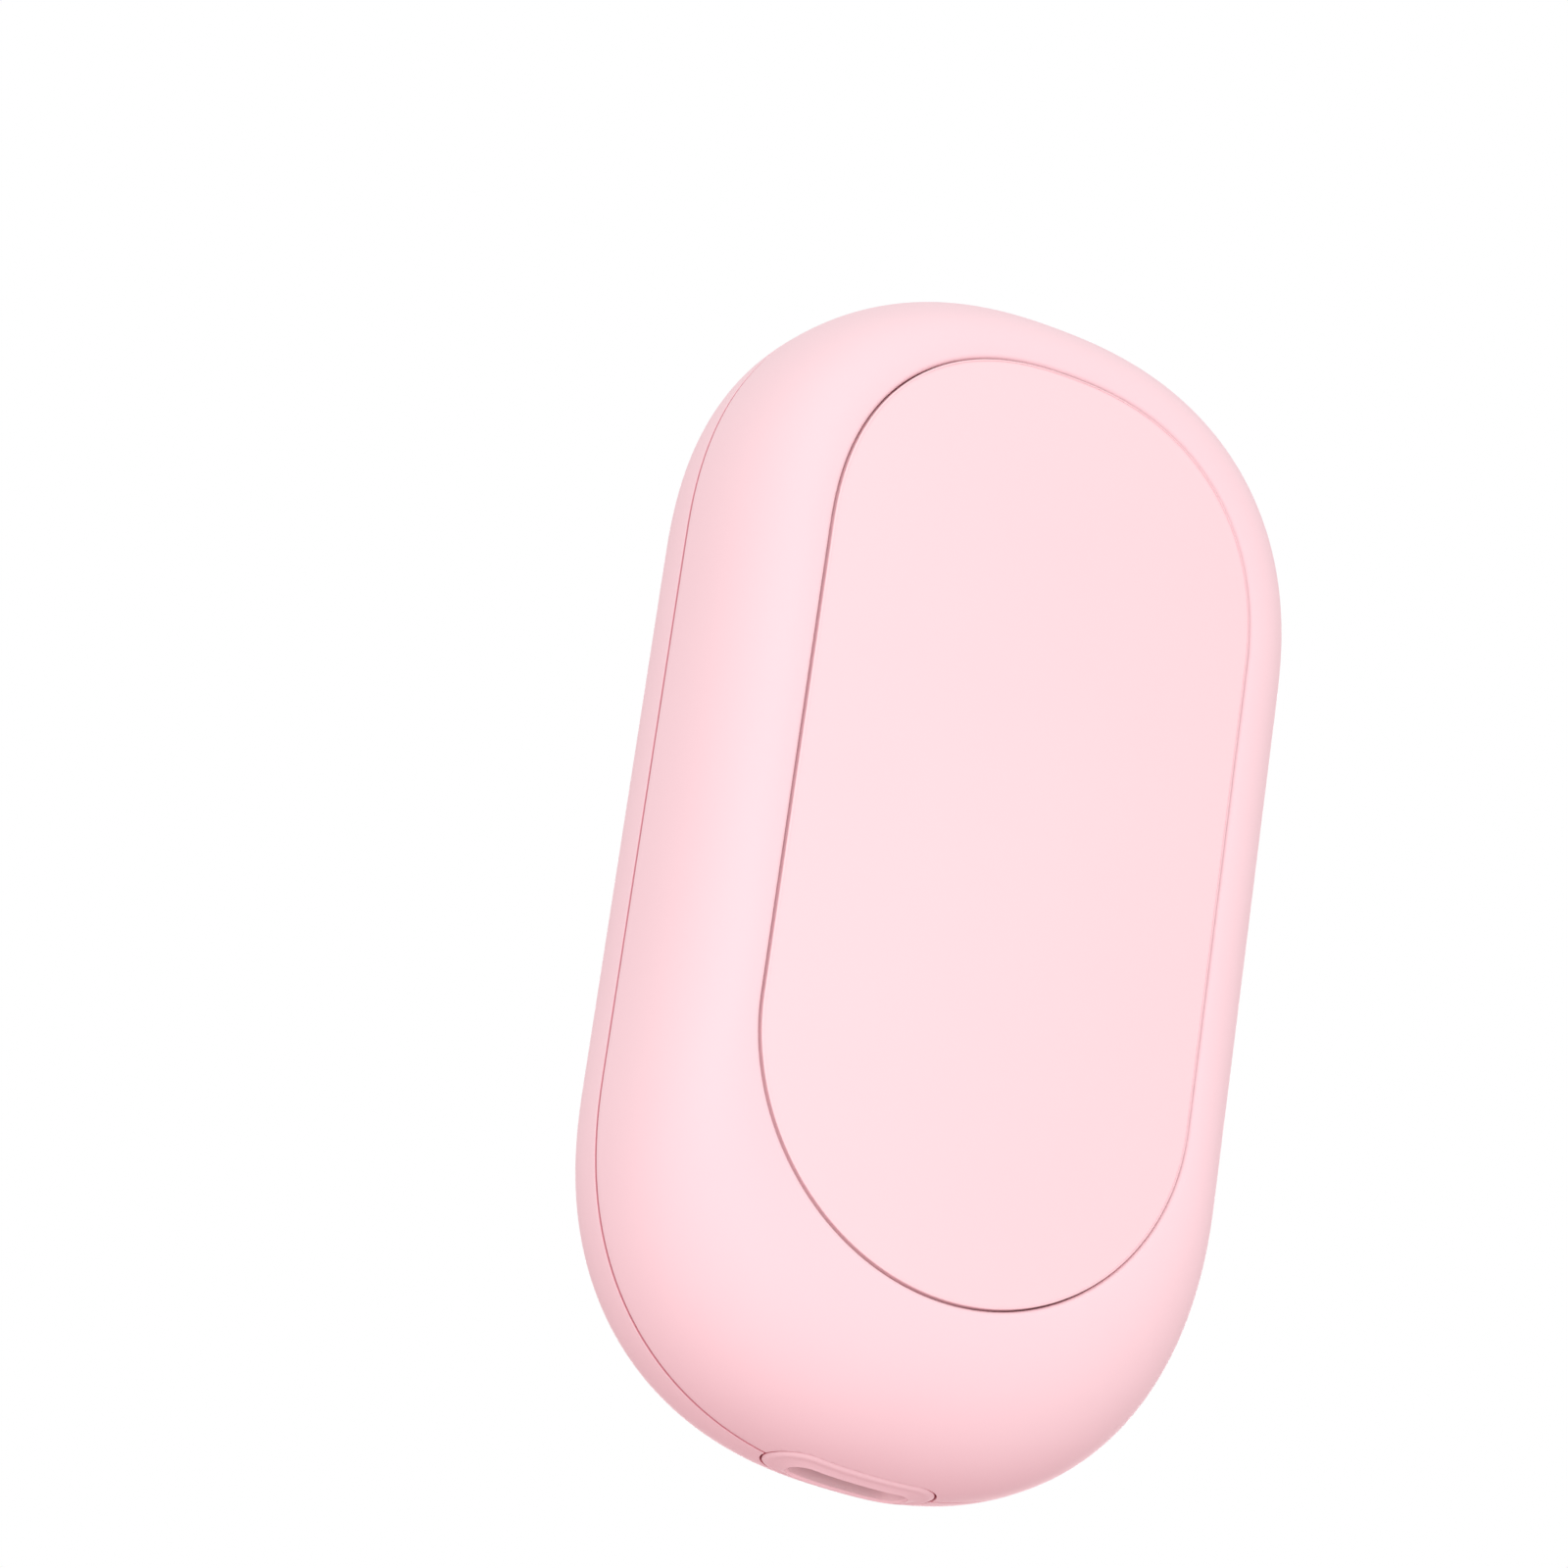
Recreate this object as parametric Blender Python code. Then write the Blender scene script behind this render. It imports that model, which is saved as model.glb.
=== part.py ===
"""Rechargeable hand warmer: two moulded shells round a heated plate, a battery and a control board.

The model is drawn lying down: x across the body, y along it with the lamp end up, z through it
with the heated face at +z. The parting plane is z = 0. One empty turns the whole assembly
upright, so that the length runs along world Z and the heated face looks along world -Y.
"""
import math

import bmesh
import bpy
from mathutils import Vector

# Body outline and depths, in metres
BODY_WIDTH = 0.0536
BODY_LENGTH = 0.0996
FRONT_DEPTH = 0.0120
WALL = 0.0018
BACK_ROUND = 0.0090
END_EXPONENT = 2.36
FRONT_EXPONENT = 2.2
BACK_EXPONENT = 2.75
PLATE_LAMP_END_EXPONENT = 2.3
PLATE_PORT_END_EXPONENT = 2.0

# Clearances
FIT = 0.0003
PARTING_GAP = 0.0003
OVERRUN = 0.0020

# Tongue and rebate that line the two shells up
REBATE_WALL = 0.0009
REBATE_HEIGHT = 0.0016

# Snap hooks on the tongue, two along each straight side
SNAP_BITE = 0.0002
SNAP_HEIGHT = 0.0004
SNAP_LENGTH = 0.0060
SNAP_SPACING = 0.0300

# Heated plate and its seat
PLATE_SIDE_MARGIN = 0.00695
PLATE_TOP_MARGIN = 0.0071
PLATE_END_MARGIN = 0.0130
PLATE_THICKNESS = 0.0010
PLATE_EDGE = 0.00025
LEDGE_WIDTH = 0.0026
LEDGE_THICKNESS = 0.0018

# Heater film, its tail and the foam behind it
FILM_THICKNESS = 0.0004
FILM_MARGIN = 0.0004
TAIL_WIDTH = 0.0080
TAIL_INSET = 0.0004
PAD_THICKNESS = 0.0012
PAD_MARGIN = 0.0014
SENSOR_WIDTH = 0.0024
SENSOR_LENGTH = 0.0034
SENSOR_DROP = 0.0200

# Battery, the ribs beside it, its protection board and leads
BATTERY_SIDE_ROOM = 0.0059
BATTERY_TOP_ROOM = 0.0180
BATTERY_EDGE = 0.0022
SEAL_THICKNESS = 0.0004
PROTECTION_LENGTH = 0.0030
PROTECTION_WIDTH = 0.0300
PROTECTION_THICKNESS = 0.0010
PROTECTION_TAIL_GAP = 0.0028
LEAD_DIAMETER = 0.0012
LEAD_SPACING = 0.0030
LEAD_INSET = 0.0030
LEAD_REACH = 0.0022
FOAM_THICKNESS = 0.0012
FOAM_MARGIN = 0.0040
RIB_THICKNESS = 0.0010
RIB_SPACING = 0.0280
RIB_TOP_GAP = 0.0020

# Control board
BOARD_SIDE_GAP = 0.0030
BOARD_END_GAP = 0.0007
BOARD_THICKNESS = 0.0010
BOSS_RADIUS = 0.0022
BOSS_SIDE_INSET = 0.0079
BOSS_END_INSET = 0.0085
SCREW_RADIUS = 0.0007
SCREW_HOLE_RADIUS = 0.0010
SCREW_HEAD_RADIUS = 0.0016
SCREW_HEAD_HEIGHT = 0.0009
SCREW_DEPTH = 0.0024
SCREW_SLOT_RADIUS = 0.0005
SCREW_SLOT_DEPTH = 0.0004

# Power button
BUTTON_RADIUS = 0.0057
BUTTON_GAP = 0.0003
BUTTON_FLANGE_WIDTH = 0.0012
BUTTON_FLANGE_THICKNESS = 0.0005
BUTTON_WALL = 0.0010
BUTTON_STEM_RADIUS = 0.0014
BUTTON_STEM_LENGTH = 0.00137
BUTTON_CROWN = 0.0001
BUTTON_EDGE = 0.0002
BUTTON_FROM_END = 0.0267
BUTTON_TRAVEL = 0.00035
COLLAR_WALL = 0.0008
COLLAR_HEIGHT = 0.0009
DISH_WIDTH = 0.0024
DISH_DEPTH = 0.0005

# Tactile switch under the button
SWITCH_WIDTH = 0.0060
SWITCH_HEIGHT = 0.0013
SWITCH_WALL = 0.0004
PLUNGER_RADIUS = 0.0014
PLUNGER_COLLAR = 0.0006
PLUNGER_RISE = 0.0004

# Three indicator lamps round the button
LAMP_COUNT = 3
LAMP_DISTANCE = 0.0032
LAMP_PITCH_DEGREES = 30.0
LAMP_HOLE_RADIUS = 0.00065
LAMP_LENGTH = 0.0016
LAMP_WIDTH = 0.0008
LAMP_HEIGHT = 0.0006
GUIDE_PIN_RADIUS = 0.00035
GUIDE_RECESS = 0.0010
GUIDE_WIDTH = 0.0030
GUIDE_MARGIN_DEGREES = 12.0

# Charging port
PORT_WIDTH = 0.0150
PORT_HEIGHT = 0.0062
PORT_PROUD = 0.0003
PORT_DEPTH = 0.0044
PORT_MOUTH_WIDTH = 0.0106
PORT_MOUTH_HEIGHT = 0.0044
PORT_FUNNEL_DEPTH = 0.0012
PORT_EAR_WIDTH = 0.0014
PORT_EAR_HEIGHT = 0.0036
PORT_EAR_THICKNESS = 0.0008
SOCKET_WIDTH = 0.00894
SOCKET_HEIGHT = 0.00326
SOCKET_LENGTH = 0.00735
SOCKET_WALL = 0.0003
SOCKET_BACK = 0.0012
TONGUE_WIDTH = 0.0066
TONGUE_THICKNESS = 0.0007
TONGUE_SETBACK = 0.0010

# Board parts: width across, length along, height off the board, and each one's
# place as x from the middle and y from the board's port end
CHIP_EDGE = 0.0001
CHARGER_SIZE = (0.0040, 0.0040, 0.0009)
CHARGER_PLACE = (-0.0085, 0.0200)
CONTROLLER_SIZE = (0.0052, 0.0064, 0.0012)
CONTROLLER_PLACE = (0.0080, 0.0490)
HEATER_SWITCH_SIZE = (0.0030, 0.0030, 0.0010)
HEATER_SWITCH_PLACE = (0.0080, 0.0250)
INDUCTOR_SIZE = (0.0052, 0.0052, 0.0024)
INDUCTOR_PLACE = (0.0080, 0.0165)
INDUCTOR_EDGE = 0.0008
CAPACITOR_SIZE = (0.0016, 0.0032, 0.0014)
INPUT_CAPACITOR_PLACE = (-0.0010, 0.0150)
OUTPUT_CAPACITOR_PLACE = (0.0020, 0.0230)

# Facet counts
END_STEPS = 24
ROUND_STEPS = 32
SMALL_STEPS = 16
CORNER_STEPS = 8
DISH_STEPS = 5
GUIDE_STEPS = 10
LEAD_STEPS = 8

# Places worked out from the sizes above
PLATE_WIDTH = BODY_WIDTH - 2 * PLATE_SIDE_MARGIN
PLATE_LENGTH = BODY_LENGTH - PLATE_TOP_MARGIN - PLATE_END_MARGIN
PLATE_RISE = (PLATE_END_MARGIN - PLATE_TOP_MARGIN) / 2
PLATE_GAP_WIDTH = PLATE_WIDTH + 2 * FIT
PLATE_GAP_LENGTH = PLATE_LENGTH + 2 * FIT
PLATE_BACK_Z = FRONT_DEPTH - PLATE_THICKNESS
LEDGE_TOP_Z = PLATE_BACK_Z - FIT
LEDGE_BACK_Z = LEDGE_TOP_Z - LEDGE_THICKNESS
OPENING_WIDTH = PLATE_GAP_WIDTH - 2 * LEDGE_WIDTH
OPENING_LENGTH = PLATE_GAP_LENGTH - 2 * LEDGE_WIDTH
FILM_FRONT_Z = PLATE_BACK_Z - FIT
FILM_BACK_Z = FILM_FRONT_Z - FILM_THICKNESS
PAD_FRONT_Z = FILM_BACK_Z - FIT
PAD_BACK_Z = PAD_FRONT_Z - PAD_THICKNESS
SOCKET_Z = 0.0
BOARD_FRONT_Z = SOCKET_Z - SOCKET_HEIGHT / 2 - FIT
BOARD_BACK_Z = BOARD_FRONT_Z - BOARD_THICKNESS
FOAM_BACK_Z = BOARD_FRONT_Z + FIT
FOAM_FRONT_Z = FOAM_BACK_Z + FOAM_THICKNESS
BATTERY_FRONT_Z = min(PAD_BACK_Z, LEDGE_BACK_Z) - FIT
BATTERY_BACK_Z = FOAM_FRONT_Z + FIT
BATTERY_MIDDLE_Z = (BATTERY_FRONT_Z + BATTERY_BACK_Z) / 2
SWITCH_BOARD_Z = BOARD_BACK_Z - FIT
SWITCH_FACE_Z = SWITCH_BOARD_Z - SWITCH_HEIGHT
PLUNGER_TIP_Z = SWITCH_FACE_Z - PLUNGER_RISE
STEM_TIP_Z = PLUNGER_TIP_Z - FIT
BUTTON_ROOF_Z = STEM_TIP_Z - BUTTON_STEM_LENGTH
BUTTON_FACE_Z = BUTTON_ROOF_Z - BUTTON_WALL
REAR_DEPTH = DISH_DEPTH - BUTTON_FACE_Z
FLOOR_Z = WALL - REAR_DEPTH
REBATE_TOP_Z = PARTING_GAP / 2 + REBATE_HEIGHT
TONGUE_TOP_Z = REBATE_TOP_Z - FIT
FLANGE_BACK_Z = FLOOR_Z + FIT
FLANGE_FRONT_Z = FLANGE_BACK_Z + BUTTON_FLANGE_THICKNESS
BODY_END_Y = -BODY_LENGTH / 2
PORT_FACE_Y = BODY_END_Y - PORT_PROUD
PORT_INNER_Y = PORT_FACE_Y + PORT_DEPTH
FUNNEL_BACK_Y = BODY_END_Y + PORT_FUNNEL_DEPTH
SOCKET_FRONT_Y = FUNNEL_BACK_Y + FIT
SOCKET_BACK_Y = SOCKET_FRONT_Y + SOCKET_LENGTH
FILM_LOW_Y = PLATE_RISE - OPENING_LENGTH / 2 + FILM_MARGIN
TAIL_LOW_Y = FILM_LOW_Y + TAIL_INSET
TAIL_HIGH_Y = TAIL_LOW_Y + FILM_THICKNESS
PROTECTION_LOW_Y = TAIL_HIGH_Y + PROTECTION_TAIL_GAP
PROTECTION_HIGH_Y = PROTECTION_LOW_Y + PROTECTION_LENGTH
BATTERY_LOW_Y = PROTECTION_HIGH_Y + FIT
BATTERY_HIGH_Y = BODY_LENGTH / 2 - WALL - BATTERY_TOP_ROOM
BATTERY_LENGTH = BATTERY_HIGH_Y - BATTERY_LOW_Y
BATTERY_CENTRE_Y = (BATTERY_HIGH_Y + BATTERY_LOW_Y) / 2
BATTERY_WIDTH = BODY_WIDTH - 2 * WALL - 2 * BATTERY_SIDE_ROOM
BOARD_WIDTH = BODY_WIDTH - 2 * WALL - 2 * BOARD_SIDE_GAP
BOARD_LOW_Y = PORT_INNER_Y + BOARD_END_GAP
BOARD_LENGTH = -2 * BOARD_LOW_Y
BOSS_X = BOARD_WIDTH / 2 - BOSS_SIDE_INSET
BOSS_Y = BOARD_LENGTH / 2 - BOSS_END_INSET
BUTTON_Y = BODY_LENGTH / 2 - BUTTON_FROM_END
BUTTON_HOLE_RADIUS = BUTTON_RADIUS + BUTTON_GAP
LAMP_CIRCLE_RADIUS = BUTTON_HOLE_RADIUS + DISH_WIDTH + LAMP_DISTANCE

# Plain looks: linear red, green and blue, then roughness and metallic
LOOKS = {
    "soft_touch_pink": (0.94, 0.66, 0.70, 0.55, 0.0),
    "painted_aluminium": (0.95, 0.70, 0.74, 0.45, 0.0),
    "polyimide_film": (0.62, 0.27, 0.05, 0.35, 0.0),
    "silicone_foam": (0.80, 0.80, 0.78, 0.95, 0.0),
    "grey_foam": (0.30, 0.30, 0.31, 0.95, 0.0),
    "pouch_foil": (0.62, 0.63, 0.65, 0.35, 0.6),
    "board_green": (0.02, 0.16, 0.07, 0.40, 0.0),
    "black_epoxy": (0.02, 0.02, 0.02, 0.45, 0.0),
    "black_nylon": (0.03, 0.03, 0.03, 0.50, 0.0),
    "white_nylon": (0.85, 0.85, 0.80, 0.40, 0.0),
    "stainless_steel": (0.60, 0.60, 0.60, 0.30, 1.0),
    "clear_acrylic": (0.85, 0.86, 0.88, 0.15, 0.0),
    "lamp_white": (0.88, 0.86, 0.70, 0.30, 0.0),
    "ferrite_grey": (0.20, 0.20, 0.21, 0.60, 0.0),
    "ceramic_tan": (0.42, 0.29, 0.17, 0.45, 0.0),
    "red_silicone": (0.60, 0.02, 0.02, 0.40, 0.0),
    "black_silicone": (0.02, 0.02, 0.02, 0.40, 0.0),
}


def clear_scene():
    """Removes whatever the file holds, so that the script can be run again."""
    for item in list(bpy.data.objects):
        bpy.data.objects.remove(item, do_unlink=True)


def material(name):
    """A Principled material of one plain colour, made once for each name."""
    found = bpy.data.materials.get(name)
    if found:
        return found
    made = bpy.data.materials.new(name)
    made.use_nodes = True
    shader = made.node_tree.nodes["Principled BSDF"]
    red, green, blue, roughness, metallic = LOOKS[name]
    shader.inputs["Base Color"].default_value = (red, green, blue, 1.0)
    shader.inputs["Roughness"].default_value = roughness
    shader.inputs["Metallic"].default_value = metallic
    made.diffuse_color = (red, green, blue, 1.0)
    return made


def add_object(name, data, look, root, smooth_degrees=35.0):
    """Puts mesh or curve data in the scene under the assembly's empty, with its material."""
    item = bpy.data.objects.new(name, data)
    bpy.context.scene.collection.objects.link(item)
    item.parent = root
    if look:
        data.materials.append(material(look))
    if item.type == "MESH" and smooth_degrees:
        data.shade_smooth()
        data.set_sharp_from_angle(angle=math.radians(smooth_degrees))
    return item


def mesh_from(name, verts, faces):
    """A mesh whose faces all point out of the solid."""
    mesh = bpy.data.meshes.new(name)
    mesh.from_pydata([tuple(v) for v in verts], [], faces)
    work = bmesh.new()
    work.from_mesh(mesh)
    bmesh.ops.recalc_face_normals(work, faces=work.faces)
    work.to_mesh(mesh)
    work.free()
    return mesh


def signed_power(value, power):
    """Keeps the sign of value while raising its size to a power."""
    return math.copysign(abs(value) ** power, value)


def outline(width, length, lamp_exponent, port_exponent, centre_y=0.0):
    """Points round a capsule whose two ends are superelliptic: exponent 2 gives a plain half circle."""
    radius = width / 2
    straight = max(length / 2 - radius, 0.0)
    points = []
    for side, exponent in ((1, lamp_exponent), (-1, port_exponent)):
        power = 2 / exponent
        for step in range(END_STEPS + 1):
            angle = math.pi * step / END_STEPS
            x = side * radius * signed_power(math.cos(angle), power)
            y = side * (straight + radius * abs(math.sin(angle)) ** power)
            points.append((x, y + centre_y))
    return points


def body_outline(inset=0.0):
    """The body's own outline, drawn in by an even amount."""
    return outline(BODY_WIDTH - 2 * inset, BODY_LENGTH - 2 * inset, END_EXPONENT, END_EXPONENT)


def plate_outline(width, length):
    """An outline concentric with the heated plate, whose lamp end is the squarer one."""
    return outline(width, length, PLATE_LAMP_END_EXPONENT, PLATE_PORT_END_EXPONENT, PLATE_RISE)


def at_height(points, z):
    """An outline laid at one height."""
    return [(x, y, z) for x, y in points]


def rounded_rings(low, high, low_z, high_z, exponent):
    """Rings of a rounded corner: upright at the low outline, level where it meets the high one."""
    rings = []
    for step in range(CORNER_STEPS + 1):
        angle = math.pi / 2 * step / CORNER_STEPS
        across = 1 - abs(math.cos(angle)) ** (2 / exponent)
        up = abs(math.sin(angle)) ** (2 / exponent)
        ring = []
        for (low_x, low_y), (high_x, high_y) in zip(low, high):
            ring.append((low_x + (high_x - low_x) * across, low_y + (high_y - low_y) * across))
        rings.append(at_height(ring, low_z + (high_z - low_z) * up))
    return rings


def loft(name, rings, looped=False):
    """Skins a run of rings with quads, then closes it on itself or with a flat face at each end."""
    count = len(rings[0])
    verts = [point for ring in rings for point in ring]
    faces = []
    pairs = len(rings) if looped else len(rings) - 1
    for row in range(pairs):
        here = row * count
        there = (row + 1) % len(rings) * count
        for i in range(count):
            j = (i + 1) % count
            faces.append((here + i, here + j, there + j, there + i))
    if not looped:
        faces.append(tuple(range(count))[::-1])
        faces.append(tuple((len(rings) - 1) * count + i for i in range(count)))
    return mesh_from(name, verts, faces)


def round_ring(radius, z, steps):
    """Points round a circle about z at one height."""
    angles = [2 * math.pi * step / steps for step in range(steps)]
    return [(radius * math.cos(angle), radius * math.sin(angle), z) for angle in angles]


def turned(name, profile, steps=ROUND_STEPS):
    """A solid turned about z from (radius, height) points that run from its bottom to its top."""
    return loft(name, [round_ring(radius, z, steps) for radius, z in profile])


def slot_outline(width, height, steps=SMALL_STEPS):
    """Points round an upright slot with half-round ends, as (x, z) pairs."""
    radius = height / 2
    straight = width / 2 - radius
    points = []
    for side in (1, -1):
        for step in range(steps + 1):
            angle = math.pi * step / steps - math.pi / 2
            points.append((side * (straight + radius * math.cos(angle)), side * radius * math.sin(angle)))
    return points


def slot_rings(sections):
    """Rings for a slot solid along y, from (width, height, y) sections."""
    rings = []
    for width, height, y in sections:
        rings.append([(x, y, z + SOCKET_Z) for x, z in slot_outline(width, height)])
    return rings


def plate_mesh(name, points, low_z, high_z):
    """A flat piece: one outline between two heights."""
    return loft(name, [at_height(points, low_z), at_height(points, high_z)])


def box_mesh(name, size):
    """A block centred on its own origin."""
    mesh = bpy.data.meshes.new(name)
    work = bmesh.new()
    bmesh.ops.create_cube(work, size=1.0)
    bmesh.ops.scale(work, vec=Vector(size), verts=work.verts)
    work.to_mesh(mesh)
    work.free()
    return mesh


def bevel(item, width, segments=2):
    """Rounds an object's sharp edges."""
    step = item.modifiers.new("edge", "BEVEL")
    step.width = width
    step.segments = segments
    step.limit_method = "ANGLE"


def combine(item, tool, operation="DIFFERENCE"):
    """Cuts, adds or intersects with a tool solid, which is then kept out of the model."""
    step = item.modifiers.new(tool.name, "BOOLEAN")
    step.object = tool
    step.operation = operation
    tool.hide_render = True
    tool.display_type = "WIRE"


def tool_from(name, mesh, root, place=(0.0, 0.0, 0.0)):
    """A hidden solid for a Boolean."""
    item = add_object(name, mesh, None, root)
    item.location = place
    item.hide_render = True
    item.display_type = "WIRE"
    return item


def front_corner_rings(outset=0.0):
    """The front shell's outer skin, from the parting plane to the edge of the plate's recess."""
    return rounded_rings(body_outline(-outset), plate_outline(PLATE_GAP_WIDTH, PLATE_GAP_LENGTH),
                         0.0, FRONT_DEPTH, FRONT_EXPONENT)


def back_corner_rings(outset=0.0):
    """The rear shell's outer skin, from the parting plane to the flat of the back."""
    return rounded_rings(body_outline(-outset), body_outline(BACK_ROUND), 0.0, -REAR_DEPTH, BACK_EXPONENT)


def make_front_shell(root, port_tool):
    """Front moulding: outer skin, plate recess, ledge, open middle, inner wall and rebate."""
    skin = front_corner_rings()
    skin[0] = at_height(body_outline(), PARTING_GAP / 2)
    opening = plate_outline(OPENING_WIDTH, OPENING_LENGTH)
    recess = plate_outline(PLATE_GAP_WIDTH, PLATE_GAP_LENGTH)
    inner = rounded_rings(body_outline(WALL), plate_outline(PLATE_WIDTH, PLATE_LENGTH),
                          REBATE_TOP_Z, LEDGE_BACK_Z, FRONT_EXPONENT)
    rings = list(skin)
    rings.append(at_height(recess, LEDGE_TOP_Z))
    rings.append(at_height(opening, LEDGE_TOP_Z))
    rings.append(at_height(opening, LEDGE_BACK_Z))
    rings.extend(reversed(inner))
    rings.append(at_height(body_outline(REBATE_WALL), REBATE_TOP_Z))
    rings.append(at_height(body_outline(REBATE_WALL), PARTING_GAP / 2))
    shell = add_object("front_shell", loft("front_shell", rings, looped=True), "soft_touch_pink", root)
    for side in (-1, 1):
        for end in (-1, 1):
            combine(shell, rib_tool(root, side, end), "UNION")
            combine(shell, snap_tool(root, side, end, FIT))
    combine(shell, port_tool)


def snap_tool(root, side, end, room=0.0):
    """A snap hook with a slope on its lead-in side, or with some room round it, the pocket for one."""
    inner_x = BODY_WIDTH / 2 - REBATE_WALL - FIT - REBATE_WALL / 2
    outer_x = BODY_WIDTH / 2 - REBATE_WALL + SNAP_BITE + room
    high_z = TONGUE_TOP_Z - SNAP_BITE + room
    low_z = high_z - SNAP_HEIGHT - 2 * room
    profile = [(inner_x, low_z), (outer_x, low_z), (outer_x, (low_z + high_z) / 2), (inner_x, high_z)]
    middle = end * SNAP_SPACING / 2
    reach = SNAP_LENGTH / 2 + room
    rings = [[(side * x, y, z) for x, z in profile] for y in (middle - reach, middle + reach)]
    return tool_from("snap", loft("snap", rings), root)


def rib_tool(root, side, end):
    """A rib that runs from the front shell's side wall to the battery and keeps it central."""
    inner_x = BATTERY_WIDTH / 2 + FIT
    outer_x = BODY_WIDTH / 2 - WALL + FIT
    high_z = LEDGE_BACK_Z - RIB_TOP_GAP
    size = (outer_x - inner_x, RIB_THICKNESS, high_z - REBATE_TOP_Z)
    place = (side * (inner_x + outer_x) / 2, BATTERY_CENTRE_Y + end * RIB_SPACING / 2,
             (high_z + REBATE_TOP_Z) / 2)
    return tool_from("battery_rib", box_mesh("battery_rib", size), root, place)


def make_rear_shell(root, port_tool):
    """Rear moulding: tray with a tongue and snaps, button dish, collar and hole, lamp holes and bosses."""
    skin = back_corner_rings()
    skin[0] = at_height(body_outline(), -PARTING_GAP / 2)
    inner = rounded_rings(body_outline(WALL), body_outline(BACK_ROUND), -PARTING_GAP / 2, FLOOR_Z,
                          BACK_EXPONENT)
    rings = list(reversed(inner))
    rings.append(at_height(body_outline(WALL), TONGUE_TOP_Z))
    rings.append(at_height(body_outline(REBATE_WALL + FIT), TONGUE_TOP_Z))
    rings.append(at_height(body_outline(REBATE_WALL + FIT), -PARTING_GAP / 2))
    rings.extend(skin)
    shell = add_object("rear_shell", loft("rear_shell", rings), "soft_touch_pink", root)

    for side in (-1, 1):
        for end in (-1, 1):
            combine(shell, boss_tool(root, side * BOSS_X, end * BOSS_Y), "UNION")
            combine(shell, pilot_tool(root, side * BOSS_X, end * BOSS_Y))
            combine(shell, snap_tool(root, side, end), "UNION")
    combine(shell, collar_tool(root), "UNION")
    combine(shell, dish_tool(root))
    profile = [(LAMP_HOLE_RADIUS, -REAR_DEPTH - OVERRUN), (LAMP_HOLE_RADIUS, FLOOR_Z + OVERRUN)]
    for x, y in lamp_places():
        hole = turned("lamp_hole", profile, SMALL_STEPS)
        combine(shell, tool_from("lamp_hole", hole, root, (x, y, 0.0)))
    combine(shell, port_tool)


def boss_tool(root, x, y):
    """A post on the rear shell's floor that carries the board."""
    profile = [(BOSS_RADIUS, FLOOR_Z - WALL / 3), (BOSS_RADIUS, BOARD_BACK_Z - FIT)]
    return tool_from("boss", turned("boss", profile, SMALL_STEPS), root, (x, y, 0.0))


def pilot_tool(root, x, y):
    """The blind hole that a board screw cuts its thread in."""
    top = BOARD_BACK_Z + OVERRUN
    low = BOARD_BACK_Z - FIT - SCREW_DEPTH - FIT
    profile = [(SCREW_RADIUS + FIT, low), (SCREW_RADIUS + FIT, top)]
    return tool_from("pilot", turned("pilot", profile, SMALL_STEPS), root, (x, y, 0.0))


def collar_tool(root):
    """The ring on the rear shell's floor that guides the button's flange."""
    inner = BUTTON_RADIUS + BUTTON_FLANGE_WIDTH + FIT
    outer = inner + COLLAR_WALL
    low_z = FLOOR_Z - WALL / 3
    high_z = FLOOR_Z + COLLAR_HEIGHT
    profile = [(inner, low_z), (outer, low_z), (outer, high_z), (inner, high_z)]
    rings = [round_ring(radius, z, ROUND_STEPS) for radius, z in profile]
    return tool_from("button_collar", loft("button_collar", rings, looped=True), root, (0.0, BUTTON_Y, 0.0))


def dish_tool(root):
    """The shallow bowl round the button, with the button's hole through its middle."""
    profile = [(BUTTON_HOLE_RADIUS, FLOOR_Z + OVERRUN), (BUTTON_HOLE_RADIUS, BUTTON_FACE_Z)]
    for step in range(1, DISH_STEPS + 1):
        share = step / DISH_STEPS
        rise = (1 - math.cos(math.pi * share)) / 2
        profile.append((BUTTON_HOLE_RADIUS + DISH_WIDTH * share, BUTTON_FACE_Z - DISH_DEPTH * rise))
    profile.append((BUTTON_HOLE_RADIUS + DISH_WIDTH, -REAR_DEPTH - OVERRUN))
    profile.reverse()
    return tool_from("button_dish", turned("button_dish", profile), root, (0.0, BUTTON_Y, 0.0))


def lamp_angles():
    """Directions of the lamps from the button's centre, even about the body's length."""
    middle = (LAMP_COUNT - 1) / 2
    return [math.radians(90.0 + (i - middle) * LAMP_PITCH_DEGREES) for i in range(LAMP_COUNT)]


def lamp_places():
    """Centres of the lamps on their circle round the button."""
    radius = LAMP_CIRCLE_RADIUS
    return [(radius * math.cos(a), BUTTON_Y + radius * math.sin(a)) for a in lamp_angles()]


def make_port_tool(root):
    """The opening for the port bezel, cut through both shells."""
    low = BODY_END_Y - OVERRUN
    high = PORT_INNER_Y + OVERRUN
    width = PORT_WIDTH + 2 * FIT
    height = PORT_HEIGHT + 2 * FIT
    opening = loft("port_opening", slot_rings([(width, height, low), (width, height, high)]))
    return tool_from("port_opening", opening, root)


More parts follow.
